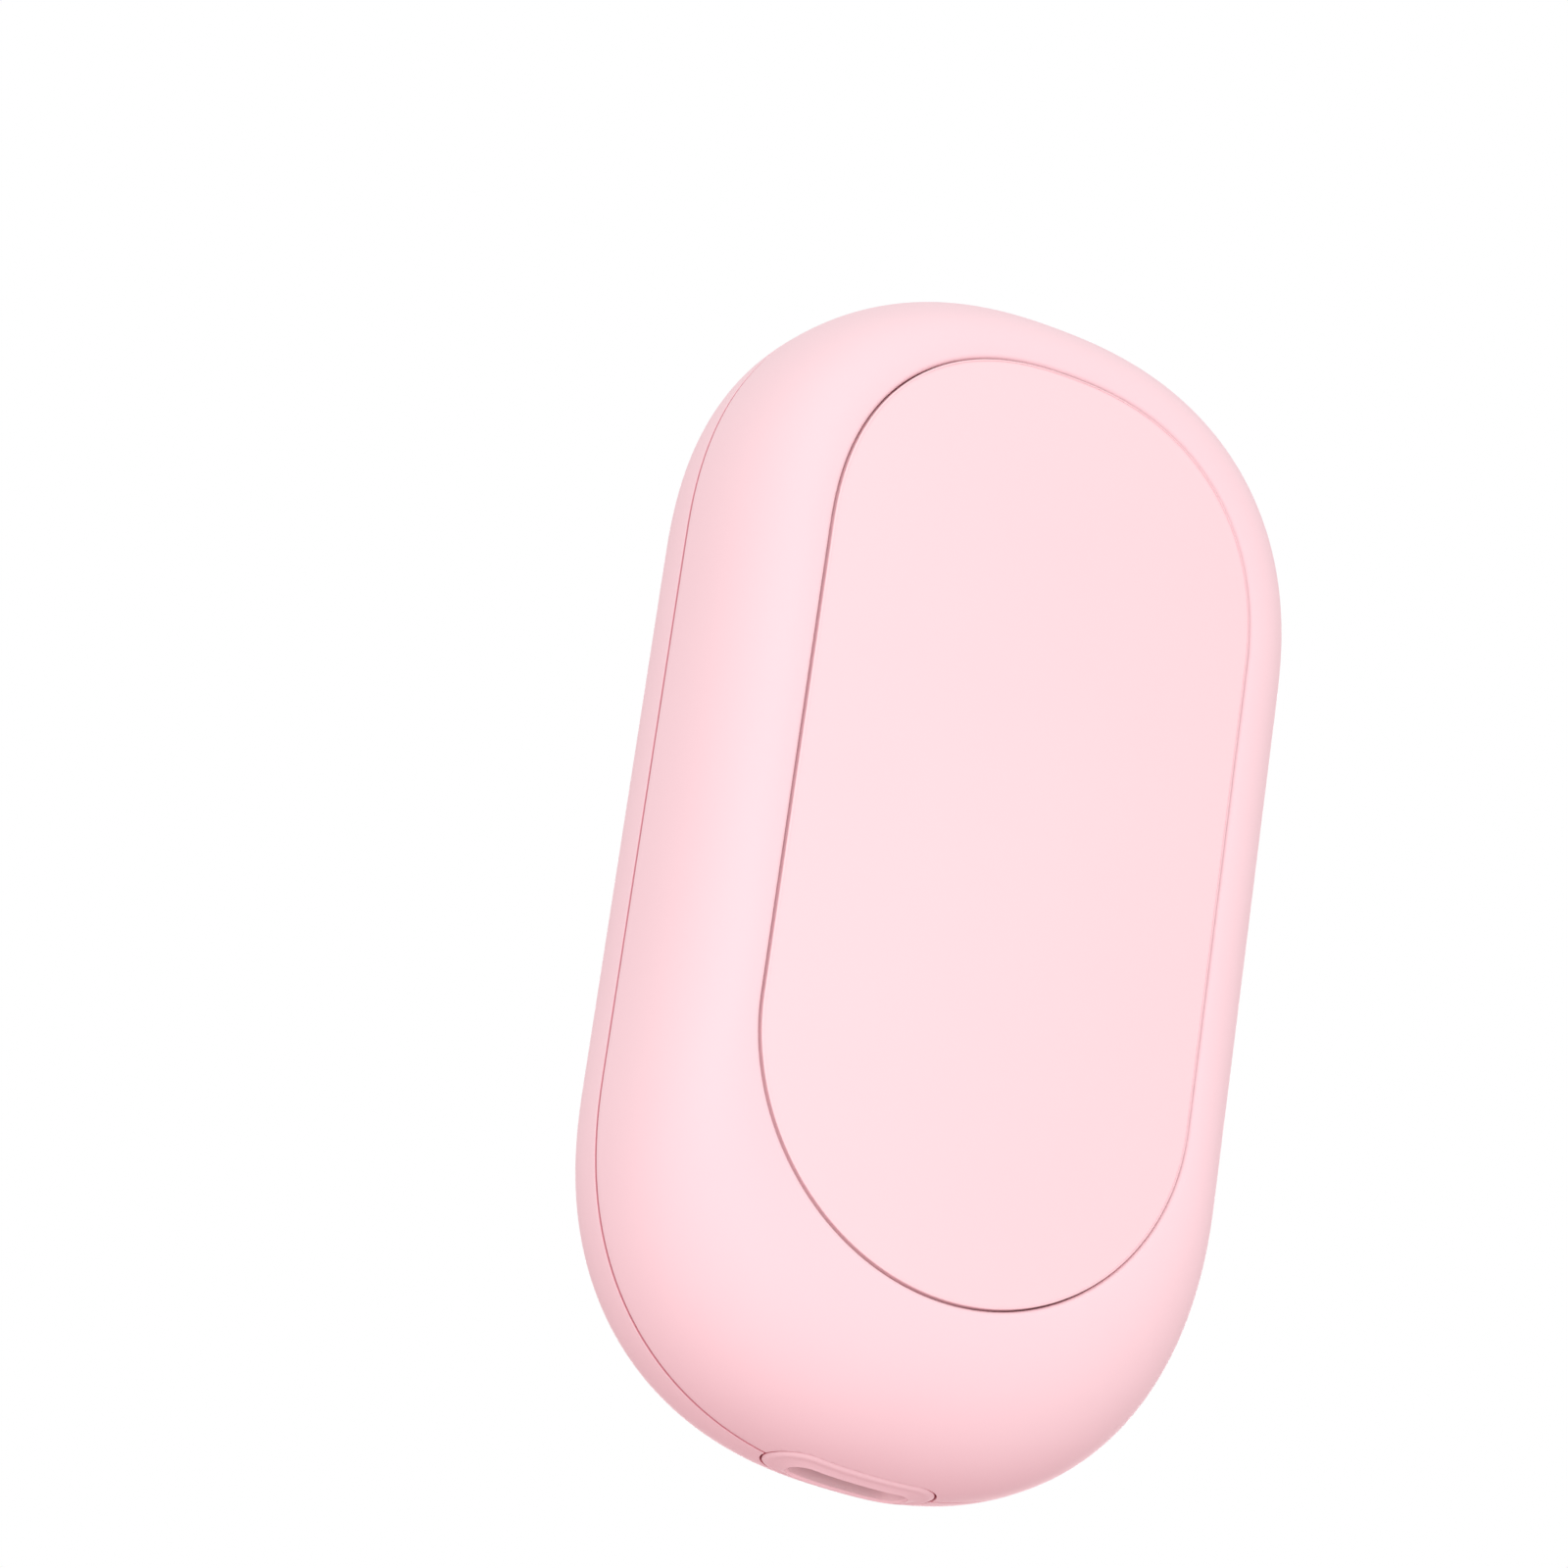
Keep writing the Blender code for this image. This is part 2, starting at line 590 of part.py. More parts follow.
def make_port_bezel(root):
    """Oval insert that follows the body's end, with a funnel down to the socket and two ears."""
    sections = [(PORT_WIDTH, PORT_HEIGHT, BODY_END_Y - OVERRUN), (PORT_WIDTH, PORT_HEIGHT, PORT_INNER_Y)]
    bezel = add_object("port_bezel", loft("port_bezel", slot_rings(sections)), "soft_touch_pink", root)
    rings = list(reversed(back_corner_rings(PORT_PROUD)))
    rings.extend(front_corner_rings(PORT_PROUD)[1:])
    combine(bezel, tool_from("bezel_face", loft("bezel_face", rings), root), "INTERSECT")
    ear_size = (PORT_WIDTH + 2 * PORT_EAR_WIDTH, PORT_EAR_THICKNESS, PORT_EAR_HEIGHT)
    ear_place = (0.0, PORT_INNER_Y - PORT_EAR_THICKNESS / 2, SOCKET_Z)
    combine(bezel, tool_from("bezel_ears", box_mesh("bezel_ears", ear_size), root, ear_place), "UNION")
    hole_width = SOCKET_WIDTH + 2 * FIT
    hole_height = SOCKET_HEIGHT + 2 * FIT
    grow = (PORT_PROUD + OVERRUN) / (PORT_PROUD + PORT_FUNNEL_DEPTH)
    wide = hole_width + (PORT_MOUTH_WIDTH - hole_width) * (1 + grow)
    tall = hole_height + (PORT_MOUTH_HEIGHT - hole_height) * (1 + grow)
    funnel = [(wide, tall, PORT_FACE_Y - OVERRUN - PORT_PROUD), (hole_width, hole_height, FUNNEL_BACK_Y),
              (hole_width, hole_height, PORT_INNER_Y + OVERRUN)]
    combine(bezel, tool_from("bezel_funnel", loft("bezel_funnel", slot_rings(funnel)), root))


def make_socket(root):
    """Charging socket: a drawn steel shell and the insulator with its contact tongue."""
    inner_width = SOCKET_WIDTH - 2 * SOCKET_WALL
    inner_height = SOCKET_HEIGHT - 2 * SOCKET_WALL
    sections = [(SOCKET_WIDTH, SOCKET_HEIGHT, SOCKET_FRONT_Y), (SOCKET_WIDTH, SOCKET_HEIGHT, SOCKET_BACK_Y),
                (inner_width, inner_height, SOCKET_BACK_Y), (inner_width, inner_height, SOCKET_FRONT_Y)]
    shell = loft("usb_socket_shell", slot_rings(sections), looped=True)
    add_object("usb_socket_shell", shell, "stainless_steel", root)

    size = (TONGUE_WIDTH, SOCKET_LENGTH - TONGUE_SETBACK, TONGUE_THICKNESS)
    tongue = add_object("usb_contact_tongue", box_mesh("usb_contact_tongue", size), "black_nylon", root)
    tongue.location = (0.0, (SOCKET_FRONT_Y + TONGUE_SETBACK + SOCKET_BACK_Y) / 2, SOCKET_Z)
    base_width = inner_width - 2 * FIT
    base_height = inner_height - 2 * FIT
    base = slot_rings([(base_width, base_height, SOCKET_BACK_Y - SOCKET_BACK),
                       (base_width, base_height, SOCKET_BACK_Y)])
    combine(tongue, tool_from("tongue_base", loft("tongue_base", base), root), "UNION")


def make_plate(root):
    """Heated plate: a flat capsule with a small broken edge, flush with the front shell."""
    drawn_in = PLATE_EDGE * 2
    full = plate_outline(PLATE_WIDTH, PLATE_LENGTH)
    small = plate_outline(PLATE_WIDTH - drawn_in, PLATE_LENGTH - drawn_in)
    rings = [at_height(full, PLATE_BACK_Z), at_height(full, FRONT_DEPTH - PLATE_EDGE),
             at_height(small, FRONT_DEPTH)]
    add_object("heating_plate", loft("heating_plate", rings), "painted_aluminium", root)


def make_heater(root):
    """Etched heater film with a tail down to the board, a temperature sensor and a foam pad."""
    drawn_in = 2 * FILM_MARGIN
    shape = plate_outline(OPENING_WIDTH - drawn_in, OPENING_LENGTH - drawn_in)
    film = add_object("heater_film", plate_mesh("heater_film", shape, FILM_BACK_Z, FILM_FRONT_Z),
                      "polyimide_film", root)
    tail_end = BOARD_FRONT_Z + FIT
    tail_start = FILM_BACK_Z + FILM_THICKNESS / 2
    tail_size = (TAIL_WIDTH, FILM_THICKNESS, tail_start - tail_end)
    tail_place = (0.0, (TAIL_LOW_Y + TAIL_HIGH_Y) / 2, (tail_start + tail_end) / 2)
    combine(film, tool_from("film_tail", box_mesh("film_tail", tail_size), root, tail_place), "UNION")

    drawn_in = 2 * (FILM_MARGIN + PAD_MARGIN)
    shape = plate_outline(OPENING_WIDTH - drawn_in, OPENING_LENGTH - drawn_in)
    pad = add_object("insulation_pad", plate_mesh("insulation_pad", shape, PAD_BACK_Z, PAD_FRONT_Z),
                     "silicone_foam", root)
    place = (0.0, PLATE_RISE - SENSOR_DROP, (PAD_BACK_Z + PAD_FRONT_Z) / 2)
    size = (SENSOR_WIDTH + 2 * FIT, SENSOR_LENGTH + 2 * FIT, PAD_THICKNESS + OVERRUN)
    combine(pad, tool_from("sensor_hole", box_mesh("sensor_hole", size), root, place))
    size = (SENSOR_WIDTH, SENSOR_LENGTH, PAD_THICKNESS)
    sensor = add_object("temperature_sensor", box_mesh("temperature_sensor", size), "black_epoxy", root)
    sensor.location = place
    bevel(sensor, PAD_THICKNESS / 4)


def make_battery(root):
    """Pouch cell with its protection board on the seal, the foam under it and two leads."""
    size = (BATTERY_WIDTH, BATTERY_LENGTH, BATTERY_FRONT_Z - BATTERY_BACK_Z)
    cell = add_object("battery_cell", box_mesh("battery_cell", size), "pouch_foil", root)
    cell.location = (0.0, BATTERY_CENTRE_Y, BATTERY_MIDDLE_Z)
    bevel(cell, BATTERY_EDGE, 3)
    seal_length = PROTECTION_LENGTH + FIT + BATTERY_EDGE
    size = (PROTECTION_WIDTH, seal_length, SEAL_THICKNESS)
    seal_z = BATTERY_MIDDLE_Z - PROTECTION_THICKNESS / 2 - FIT - SEAL_THICKNESS / 2
    place = (0.0, PROTECTION_LOW_Y + seal_length / 2, seal_z)
    combine(cell, tool_from("pouch_seal", box_mesh("pouch_seal", size), root, place), "UNION")

    size = (PROTECTION_WIDTH, PROTECTION_LENGTH, PROTECTION_THICKNESS)
    guard = add_object("protection_board", box_mesh("protection_board", size), "board_green", root)
    guard.location = (0.0, (PROTECTION_HIGH_Y + PROTECTION_LOW_Y) / 2, BATTERY_MIDDLE_Z)

    size = (BATTERY_WIDTH - 2 * FOAM_MARGIN, BATTERY_LENGTH - 2 * FOAM_MARGIN, FOAM_THICKNESS)
    foam = add_object("battery_foam", box_mesh("battery_foam", size), "grey_foam", root)
    foam.location = (0.0, BATTERY_CENTRE_Y, (FOAM_FRONT_Z + FOAM_BACK_Z) / 2)

    lead_x = LEAD_INSET - PROTECTION_WIDTH / 2
    make_lead(root, "battery_lead_red", lead_x, BATTERY_MIDDLE_Z, "red_silicone")
    make_lead(root, "battery_lead_black", lead_x + LEAD_SPACING, BATTERY_MIDDLE_Z, "black_silicone")


def make_lead(root, name, x, start_z, look):
    """A short wire out of the protection board's edge, bent over and down onto the board."""
    radius = LEAD_DIAMETER / 2
    start_y = PROTECTION_LOW_Y - FIT
    bend_y = start_y - radius
    points = [(x, start_y, start_z)]
    for step in range(LEAD_STEPS + 1):
        angle = math.pi / 2 * step / LEAD_STEPS
        drop = LEAD_REACH * (1 - math.cos(angle))
        points.append((x, bend_y - LEAD_REACH * math.sin(angle), start_z - drop))
    points.append((x, bend_y - LEAD_REACH, BOARD_FRONT_Z + FIT))
    curve = bpy.data.curves.new(name, "CURVE")
    curve.dimensions = "3D"
    curve.bevel_depth = radius
    curve.bevel_resolution = 2
    curve.use_fill_caps = True
    spline = curve.splines.new("POLY")
    spline.points.add(len(points) - 1)
    for target, point in zip(spline.points, points):
        target.co = (point[0], point[1], point[2], 1.0)
    add_object(name, curve, look, root)


def make_board(root):
    """Control board on the rear shell's bosses, held by four small screws."""
    shape = outline(BOARD_WIDTH, BOARD_LENGTH, END_EXPONENT, END_EXPONENT)
    board = add_object("main_board", plate_mesh("main_board", shape, BOARD_BACK_Z, BOARD_FRONT_Z),
                       "board_green", root)
    profile = [(SCREW_HOLE_RADIUS, BOARD_BACK_Z - OVERRUN), (SCREW_HOLE_RADIUS, BOARD_FRONT_Z + OVERRUN)]
    for row, y in enumerate((-BOSS_Y, BOSS_Y)):
        for column, x in enumerate((-BOSS_X, BOSS_X)):
            tool = tool_from("board_hole", turned("board_hole", profile, SMALL_STEPS), root, (x, y, 0.0))
            combine(board, tool)
            make_screw(root, "board_screw_%d" % (row * 2 + column + 1), x, y)


def make_screw(root, name, x, y):
    """A pan-head screw with a plain socket, down through the board into its boss."""
    head_low = BOARD_FRONT_Z + FIT
    head_top = head_low + SCREW_HEAD_HEIGHT
    tip = BOARD_BACK_Z - FIT - SCREW_DEPTH
    shoulder = SCREW_HEAD_RADIUS - SCREW_HEAD_HEIGHT / 3
    profile = [(SCREW_RADIUS / 2, tip), (SCREW_RADIUS, tip + SCREW_RADIUS / 2), (SCREW_RADIUS, head_low),
               (SCREW_HEAD_RADIUS, head_low), (SCREW_HEAD_RADIUS, head_low + SCREW_HEAD_HEIGHT * 2 / 3),
               (shoulder, head_top), (SCREW_SLOT_RADIUS, head_top),
               (SCREW_SLOT_RADIUS / 2, head_top - SCREW_SLOT_DEPTH)]
    screw = add_object(name, turned(name, profile, SMALL_STEPS), "stainless_steel", root)
    screw.location = (x, y, 0.0)


def make_button(root):
    """Power button: a hollow cap with a retaining flange and a stem over the switch."""
    inside = BUTTON_RADIUS - BUTTON_WALL
    flange = BUTTON_RADIUS + BUTTON_FLANGE_WIDTH
    profile = [(BUTTON_STEM_RADIUS, STEM_TIP_Z), (BUTTON_STEM_RADIUS, BUTTON_ROOF_Z),
               (inside, BUTTON_ROOF_Z), (inside, FLANGE_FRONT_Z),
               (flange, FLANGE_FRONT_Z), (flange, FLANGE_BACK_Z),
               (BUTTON_RADIUS, FLANGE_BACK_Z), (BUTTON_RADIUS, BUTTON_FACE_Z + BUTTON_EDGE),
               (BUTTON_RADIUS - BUTTON_EDGE, BUTTON_FACE_Z),
               (BUTTON_RADIUS / 2, BUTTON_FACE_Z - BUTTON_CROWN)]
    button = add_object("power_button", turned("power_button", profile), "soft_touch_pink", root)
    button.location = (0.0, BUTTON_Y, 0.0)


def make_switch(root):
    """Tactile switch: a square body with a round well, and the plunger that travels in it."""
    size = (SWITCH_WIDTH, SWITCH_WIDTH, SWITCH_HEIGHT)
    body = add_object("switch_body", box_mesh("switch_body", size), "black_nylon", root)
    body.location = (0.0, BUTTON_Y, (SWITCH_BOARD_Z + SWITCH_FACE_Z) / 2)
    well_radius = PLUNGER_RADIUS + PLUNGER_COLLAR + FIT
    well_floor = SWITCH_BOARD_Z - SWITCH_WALL
    profile = [(well_radius, SWITCH_FACE_Z - OVERRUN), (well_radius, well_floor)]
    well = turned("switch_well", profile, SMALL_STEPS)
    combine(body, tool_from("switch_well", well, root, (0.0, BUTTON_Y, 0.0)))

    collar_low = well_floor - FIT - BUTTON_TRAVEL
    collar_top = (collar_low + SWITCH_FACE_Z) / 2
    profile = [(PLUNGER_RADIUS, PLUNGER_TIP_Z), (PLUNGER_RADIUS, collar_top),
               (PLUNGER_RADIUS + PLUNGER_COLLAR, collar_top), (PLUNGER_RADIUS + PLUNGER_COLLAR, collar_low)]
    shape = turned("switch_plunger", profile, SMALL_STEPS)
    plunger = add_object("switch_plunger", shape, "white_nylon", root)
    plunger.location = (0.0, BUTTON_Y, 0.0)


def make_lamps(root):
    """Three indicator lamps on the board and the clear guide whose pins reach into the shell."""
    top = BOARD_BACK_Z - FIT
    for number, (place, angle) in enumerate(zip(lamp_places(), lamp_angles()), start=1):
        name = "lamp_%d" % number
        size = (LAMP_LENGTH, LAMP_WIDTH, LAMP_HEIGHT)
        lamp = add_object(name, box_mesh(name, size), "lamp_white", root)
        lamp.location = (place[0], place[1], top - LAMP_HEIGHT / 2)
        lamp.rotation_euler = (0.0, 0.0, angle - math.pi / 2)

    guide_front = top - LAMP_HEIGHT - FIT
    guide_back = FLOOR_Z + FIT
    margin = math.radians(GUIDE_MARGIN_DEGREES)
    first = lamp_angles()[0] - margin
    last = lamp_angles()[-1] + margin
    arc = [first + (last - first) * step / GUIDE_STEPS for step in range(GUIDE_STEPS + 1)]
    outer = LAMP_CIRCLE_RADIUS + GUIDE_WIDTH / 2
    inner = LAMP_CIRCLE_RADIUS - GUIDE_WIDTH / 2
    bar = [(outer * math.cos(a), outer * math.sin(a)) for a in arc]
    bar.extend((inner * math.cos(a), inner * math.sin(a)) for a in reversed(arc))
    guide = add_object("light_guide", plate_mesh("light_guide", bar, guide_back, guide_front),
                       "clear_acrylic", root)
    guide.location = (0.0, BUTTON_Y, 0.0)
    pin_root = (guide_back + guide_front) / 2
    profile = [(GUIDE_PIN_RADIUS, GUIDE_RECESS - REAR_DEPTH), (GUIDE_PIN_RADIUS, pin_root)]
    for x, y in lamp_places():
        pin = tool_from("guide_pin", turned("guide_pin", profile, SMALL_STEPS), root, (x, y, 0.0))
        combine(guide, pin, "UNION")


def make_chip(root, name, size, place, look, edge=CHIP_EDGE):
    """A part on the board's rear face, placed from the board's middle and its port end."""
    chip = add_object(name, box_mesh(name, size), look, root)
    chip.location = (place[0], BOARD_LOW_Y + place[1], BOARD_BACK_Z - FIT - size[2] / 2)
    bevel(chip, edge)


def make_board_parts(root):
    """Charger, controller, heater switch, inductor and capacitors."""
    make_chip(root, "charger_chip", CHARGER_SIZE, CHARGER_PLACE, "black_epoxy")
    make_chip(root, "controller_chip", CONTROLLER_SIZE, CONTROLLER_PLACE, "black_epoxy")
    make_chip(root, "heater_switch_chip", HEATER_SWITCH_SIZE, HEATER_SWITCH_PLACE, "black_epoxy")
    make_chip(root, "power_inductor", INDUCTOR_SIZE, INDUCTOR_PLACE, "ferrite_grey", INDUCTOR_EDGE)
    make_chip(root, "input_capacitor", CAPACITOR_SIZE, INPUT_CAPACITOR_PLACE, "ceramic_tan")
    make_chip(root, "output_capacitor", CAPACITOR_SIZE, OUTPUT_CAPACITOR_PLACE, "ceramic_tan")


def centre_on_origin(root):
    """Moves the assembly so that the middle of its solids' bounding box is the world's origin."""
    bpy.context.view_layer.update()
    graph = bpy.context.evaluated_depsgraph_get()
    corners = []
    for item in root.children:
        if item.type == "MESH" and not item.hide_render:
            shape = item.evaluated_get(graph)
            corners.extend(shape.matrix_world @ Vector(corner) for corner in shape.bound_box)
    low = Vector([min(corner[axis] for corner in corners) for axis in range(3)])
    high = Vector([max(corner[axis] for corner in corners) for axis in range(3)])
    root.location -= (low + high) / 2


def make_hand_warmer():
    """Builds every piece under one empty, which stands the assembly upright."""
    clear_scene()
    root = bpy.data.objects.new("hand_warmer", None)
    bpy.context.scene.collection.objects.link(root)
    root.rotation_euler = (math.pi / 2, 0.0, 0.0)
    port_tool = make_port_tool(root)
    make_front_shell(root, port_tool)
    make_rear_shell(root, port_tool)
    make_port_bezel(root)
    make_socket(root)
    make_plate(root)
    make_heater(root)
    make_battery(root)
    make_board(root)
    make_button(root)
    make_switch(root)
    make_lamps(root)
    make_board_parts(root)
    centre_on_origin(root)


make_hand_warmer()
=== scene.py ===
"""Looks of a pink rechargeable hand warmer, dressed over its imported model.

The pieces are drawn lying down, as on the maker's sheet: x across the body, y along it with the
lamp end up, z through it with the heated plate on top and the parting plane at z = 0. One
function stands them upright in the model's frame, where the length runs along Z and the plate
looks along -Y. Sizes are in millimetres until then.
"""
import math

import bmesh
import bpy
from mathutils import Matrix, Vector


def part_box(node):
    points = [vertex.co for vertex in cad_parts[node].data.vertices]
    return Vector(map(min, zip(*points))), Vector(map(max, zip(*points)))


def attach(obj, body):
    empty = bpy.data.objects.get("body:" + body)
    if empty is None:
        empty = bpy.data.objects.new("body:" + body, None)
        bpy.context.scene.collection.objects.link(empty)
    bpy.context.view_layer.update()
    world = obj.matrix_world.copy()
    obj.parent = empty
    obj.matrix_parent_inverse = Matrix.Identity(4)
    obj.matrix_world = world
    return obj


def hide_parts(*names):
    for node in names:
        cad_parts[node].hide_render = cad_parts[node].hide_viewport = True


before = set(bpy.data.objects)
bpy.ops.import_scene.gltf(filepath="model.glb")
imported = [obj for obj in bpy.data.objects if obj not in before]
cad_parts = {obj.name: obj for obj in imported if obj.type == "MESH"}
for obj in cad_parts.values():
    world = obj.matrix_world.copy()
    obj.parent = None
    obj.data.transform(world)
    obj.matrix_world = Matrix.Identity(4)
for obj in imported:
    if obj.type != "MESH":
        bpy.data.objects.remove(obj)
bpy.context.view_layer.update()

# One millimetre in metres, the seam between the shells, and the clearances
MM = 0.001
SEAM = 0.21
SEAM_DEPTH = 0.60
SEAM_FIT = 0.06
FIT = 0.3
OVERRUN = 2.0

# Body, as moulded
BODY_WIDTH = 53.6
BODY_LENGTH = 99.6
FRONT_DEPTH = 12.0
REAR_DEPTH = 8.1
WALL = 1.8
BACK_ROUND = 9.0
END_EXPONENT = 2.36
FRONT_EXPONENT = 2.2
BACK_EXPONENT = 2.75
FRONT_SEAM_EDGE = 0.18
REAR_SEAM_EDGE = 0.04
REBATE_WALL = 0.9
REBATE_TOP = 1.75

# Snap hooks on the tongue, and the ribs that keep the battery central
SNAP_BITE = 0.2
SNAP_HEIGHT = 0.4
SNAP_LENGTH = 6.0
SNAP_SPACING = 30.0
RIB_THICKNESS = 1.0
RIB_MIDDLE = 1.4
RIB_SPACING = 28.0
RIB_TOP_GAP = 2.0

# Heated plate, and the rounded rim of the front shell that it stands a little proud of
PLATE_WIDTH = 39.7
PLATE_LENGTH = 79.5
PLATE_RISE = 2.95
PLATE_LAMP_END_EXPONENT = 2.3
PLATE_PORT_END_EXPONENT = 2.0
PLATE_THICKNESS = 1.0
PLATE_EDGE = 0.14
PLATE_GAP = 0.11
PLATE_PROUD = 0.13
RIM_EDGE = 0.42
LEDGE_WIDTH = 2.6
LEDGE_THICKNESS = 1.8

# Power button, the dish round it and the collar behind it
BUTTON_ALONG = 23.1
BUTTON_RADIUS = 5.7
BUTTON_GAP = 0.24
BUTTON_FACE = -7.6
BUTTON_CROWN = 0.08
BUTTON_EDGE = 0.22
BUTTON_ROOF = -6.6
BUTTON_WALL = 1.0
FLANGE_WIDTH = 1.2
FLANGE_THICKNESS = 0.5
STEM_RADIUS = 1.4
STEM_TIP = -5.23
DISH_EDGE = 8.4
DISH_LIP = 0.15
COLLAR_WALL = 0.8
COLLAR_HEIGHT = 0.9

# Power sign pressed into the button, from the button's centre
SIGN_ARC_RADIUS = 2.65
SIGN_ARC_RISE = 0.2
SIGN_OPEN_DEGREES = 54.0
SIGN_BAR_LOW = -0.6
SIGN_BAR_HIGH = 2.9
SIGN_HALF_STROKE = 0.26
SIGN_SLOPE = 0.18
SIGN_DEPTH = 0.28
SIGN_REACH = 3.4

# Lamp holes on their circle round the button
LAMP_CIRCLE = 11.6
LAMP_MIDDLE_DEGREES = 90.0
LAMP_PITCH_DEGREES = 30.0
LAMP_HOLE = 0.6
LAMP_RIM = 0.12

# Board posts inside the rear shell
POST_ACROSS = 14.1
POST_ALONG = 36.55
POST_RADIUS = 2.2
POST_ROOT = -7.2
POST_TOP = -3.23
PILOT_RADIUS = 1.0
PILOT_FLOOR = -5.93

# Charging port: its surround, from the raised lip over the band to the mouth and the throat
PORT_WIDTH = 15.0
PORT_HEIGHT = 6.2
PORT_GAP = 0.06
PORT_TIP_GAP = 0.20
PORT_CUT_EDGE = 0.08
PORT_INNER = -45.7
LIP_START = -0.08
LIP_PROUD = 0.09
LIP_CREST = 0.45
LIP_FOOT = 1.0
BAND_PROUD = 0.03
MOUTH_WIDTH = 10.5
MOUTH_HEIGHT = 2.8
MOUTH_BACK = 0.12
MOUTH_PROUD = 0.23
MOUTH_EDGE = 0.2
THROAT_WIDTH = 9.6
THROAT_DEPTH = 1.2
SOCKET_BAY_WIDTH = 9.54
SOCKET_BAY_HEIGHT = 3.86

# Heights and edges that several forms share
SEAM_LIP = SEAM / 2
TONGUE_TOP = REBATE_TOP - FIT
RIM_OUTSET = PLATE_GAP + RIM_EDGE
RIM_TOP = FRONT_DEPTH - PLATE_PROUD
LEDGE_TOP = FRONT_DEPTH - PLATE_THICKNESS - FIT
LEDGE_BACK = LEDGE_TOP - LEDGE_THICKNESS
REAR_FLOOR = WALL - REAR_DEPTH
PORT_END = -BODY_LENGTH / 2

# Which of its looks a shell or the button wears on a face; the last two are deeper pinks that also paint
# shade
SPRAYED = 0
BARE_AND_SHADED = 1
SIGN_SHADE = 2

# How finely each form is divided, and how sharp a corner has to be to stay sharp in the shading
END_STEPS = 96
SIDE_STEPS = 18
CORNER_STEPS = 44
EDGE_STEPS = 5
TURN_STEPS = 128
SIGN_TURN_STEPS = 320
SIGN_RING_STEP = 0.05
HOLE_STEPS = 32
SLOT_STEPS = 40
DISH_STEPS = 18
HALVINGS = 40
SHARP_DEGREES = 40.0

# Where the drawing stands in the model's frame
PARTING_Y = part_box("heating_plate")[0].y + FRONT_DEPTH * MM
MIDDLE_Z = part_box("front_shell")[1].z - BODY_LENGTH / 2 * MM


# Drawing helpers

def upright(point):
    """A point of the drawing, in millimetres, as a place in the model's frame."""
    x, y, z = point
    return Vector((x * MM, PARTING_Y - z * MM, MIDDLE_Z + y * MM))


def end_point(width, length, exponent, angle):
    """A point on a capsule's upper end, from its right side at angle 0 round to its left."""
    radius = width / 2
    power = 2 / exponent
    x = math.copysign(radius * abs(math.cos(angle)) ** power, math.cos(angle))
    return x, length / 2 - radius + radius * abs(math.sin(angle)) ** power


def outline(width, length, lamp_exponent, port_exponent, centre=0.0):
    """Points round a capsule with superelliptic ends: exponent 2 gives a plain half circle."""
    points = []
    for side, exponent in ((1, lamp_exponent), (-1, port_exponent)):
        turns = [math.pi * step / END_STEPS for step in range(END_STEPS + 1)]
        half = [end_point(width, length, exponent, turn) for turn in turns]
        left, high = half[-1]
        half.extend((left, high * (1 - 2 * step / SIDE_STEPS)) for step in range(1, SIDE_STEPS))
        points.extend((side * x, centre + side * y) for x, y in half)
    return points


def body_outline(inset=0.0):
    """The body's own outline, drawn in by an even amount."""
    return outline(BODY_WIDTH - 2 * inset, BODY_LENGTH - 2 * inset, END_EXPONENT, END_EXPONENT)


def plate_outline(outset=0.0):
    """An outline concentric with the heated plate, drawn out by an even amount."""
    return outline(PLATE_WIDTH + 2 * outset, PLATE_LENGTH + 2 * outset,
                   PLATE_LAMP_END_EXPONENT, PLATE_PORT_END_EXPONENT, PLATE_RISE)


def level(points, z):
    """An outline laid at one height."""
    return [(x, y, z) for x, y in points]


def rounding():
    """A quarter round from a face to a side: each step's way in from the side and off the face, as shares."""
    angles = [math.pi / 2 * step / EDGE_STEPS for step in range(EDGE_STEPS + 1)]
    return [(1 - math.sin(angle), 1 - math.cos(angle)) for angle in angles]


def corner_rings(low, high, start, depth, exponent):
    """Rings of a big rounded corner, from a height just off the parting plane to its full depth."""
    first = math.asin((start / abs(depth)) ** (exponent / 2))
    rings = []
    for step in range(CORNER_STEPS + 1):
        angle = first + (math.pi / 2 - first) * step / CORNER_STEPS
        across = 1 - abs(math.cos(angle)) ** (2 / exponent)
        up = math.sin(angle) ** (2 / exponent)
        ring = [(a[0] + (b[0] - a[0]) * across, a[1] + (b[1] - a[1]) * across) for a, b in zip(low, high)]
        rings.append(level(ring, depth * up))
    return rings


def circle(radius, z, x=0.0, y=0.0, steps=TURN_STEPS):
    """Points round a circle about z."""
    angles = [2 * math.pi * step / steps for step in range(steps)]
    return [(x + radius * math.cos(angle), y + radius * math.sin(angle), z) for angle in angles]


def slot_outline(width, height):
    """Points round the port's oval, as (x, z) pairs seen at the body's end."""
    radius = height / 2
    straight = width / 2 - radius
    half = []
    for step in range(SLOT_STEPS + 1):
        angle = math.pi * step / SLOT_STEPS - math.pi / 2
        half.append((straight + radius * math.cos(angle), radius * math.sin(angle)))
    half.extend((straight * (1 - 2 * step / SIDE_STEPS), radius) for step in range(1, SIDE_STEPS))
    return half + [(-x, -z) for x, z in half]


def placed(name, data):
    """A new object in the scene."""
    made = bpy.data.objects.new(name, data)
    bpy.context.scene.collection.objects.link(made)
    return made


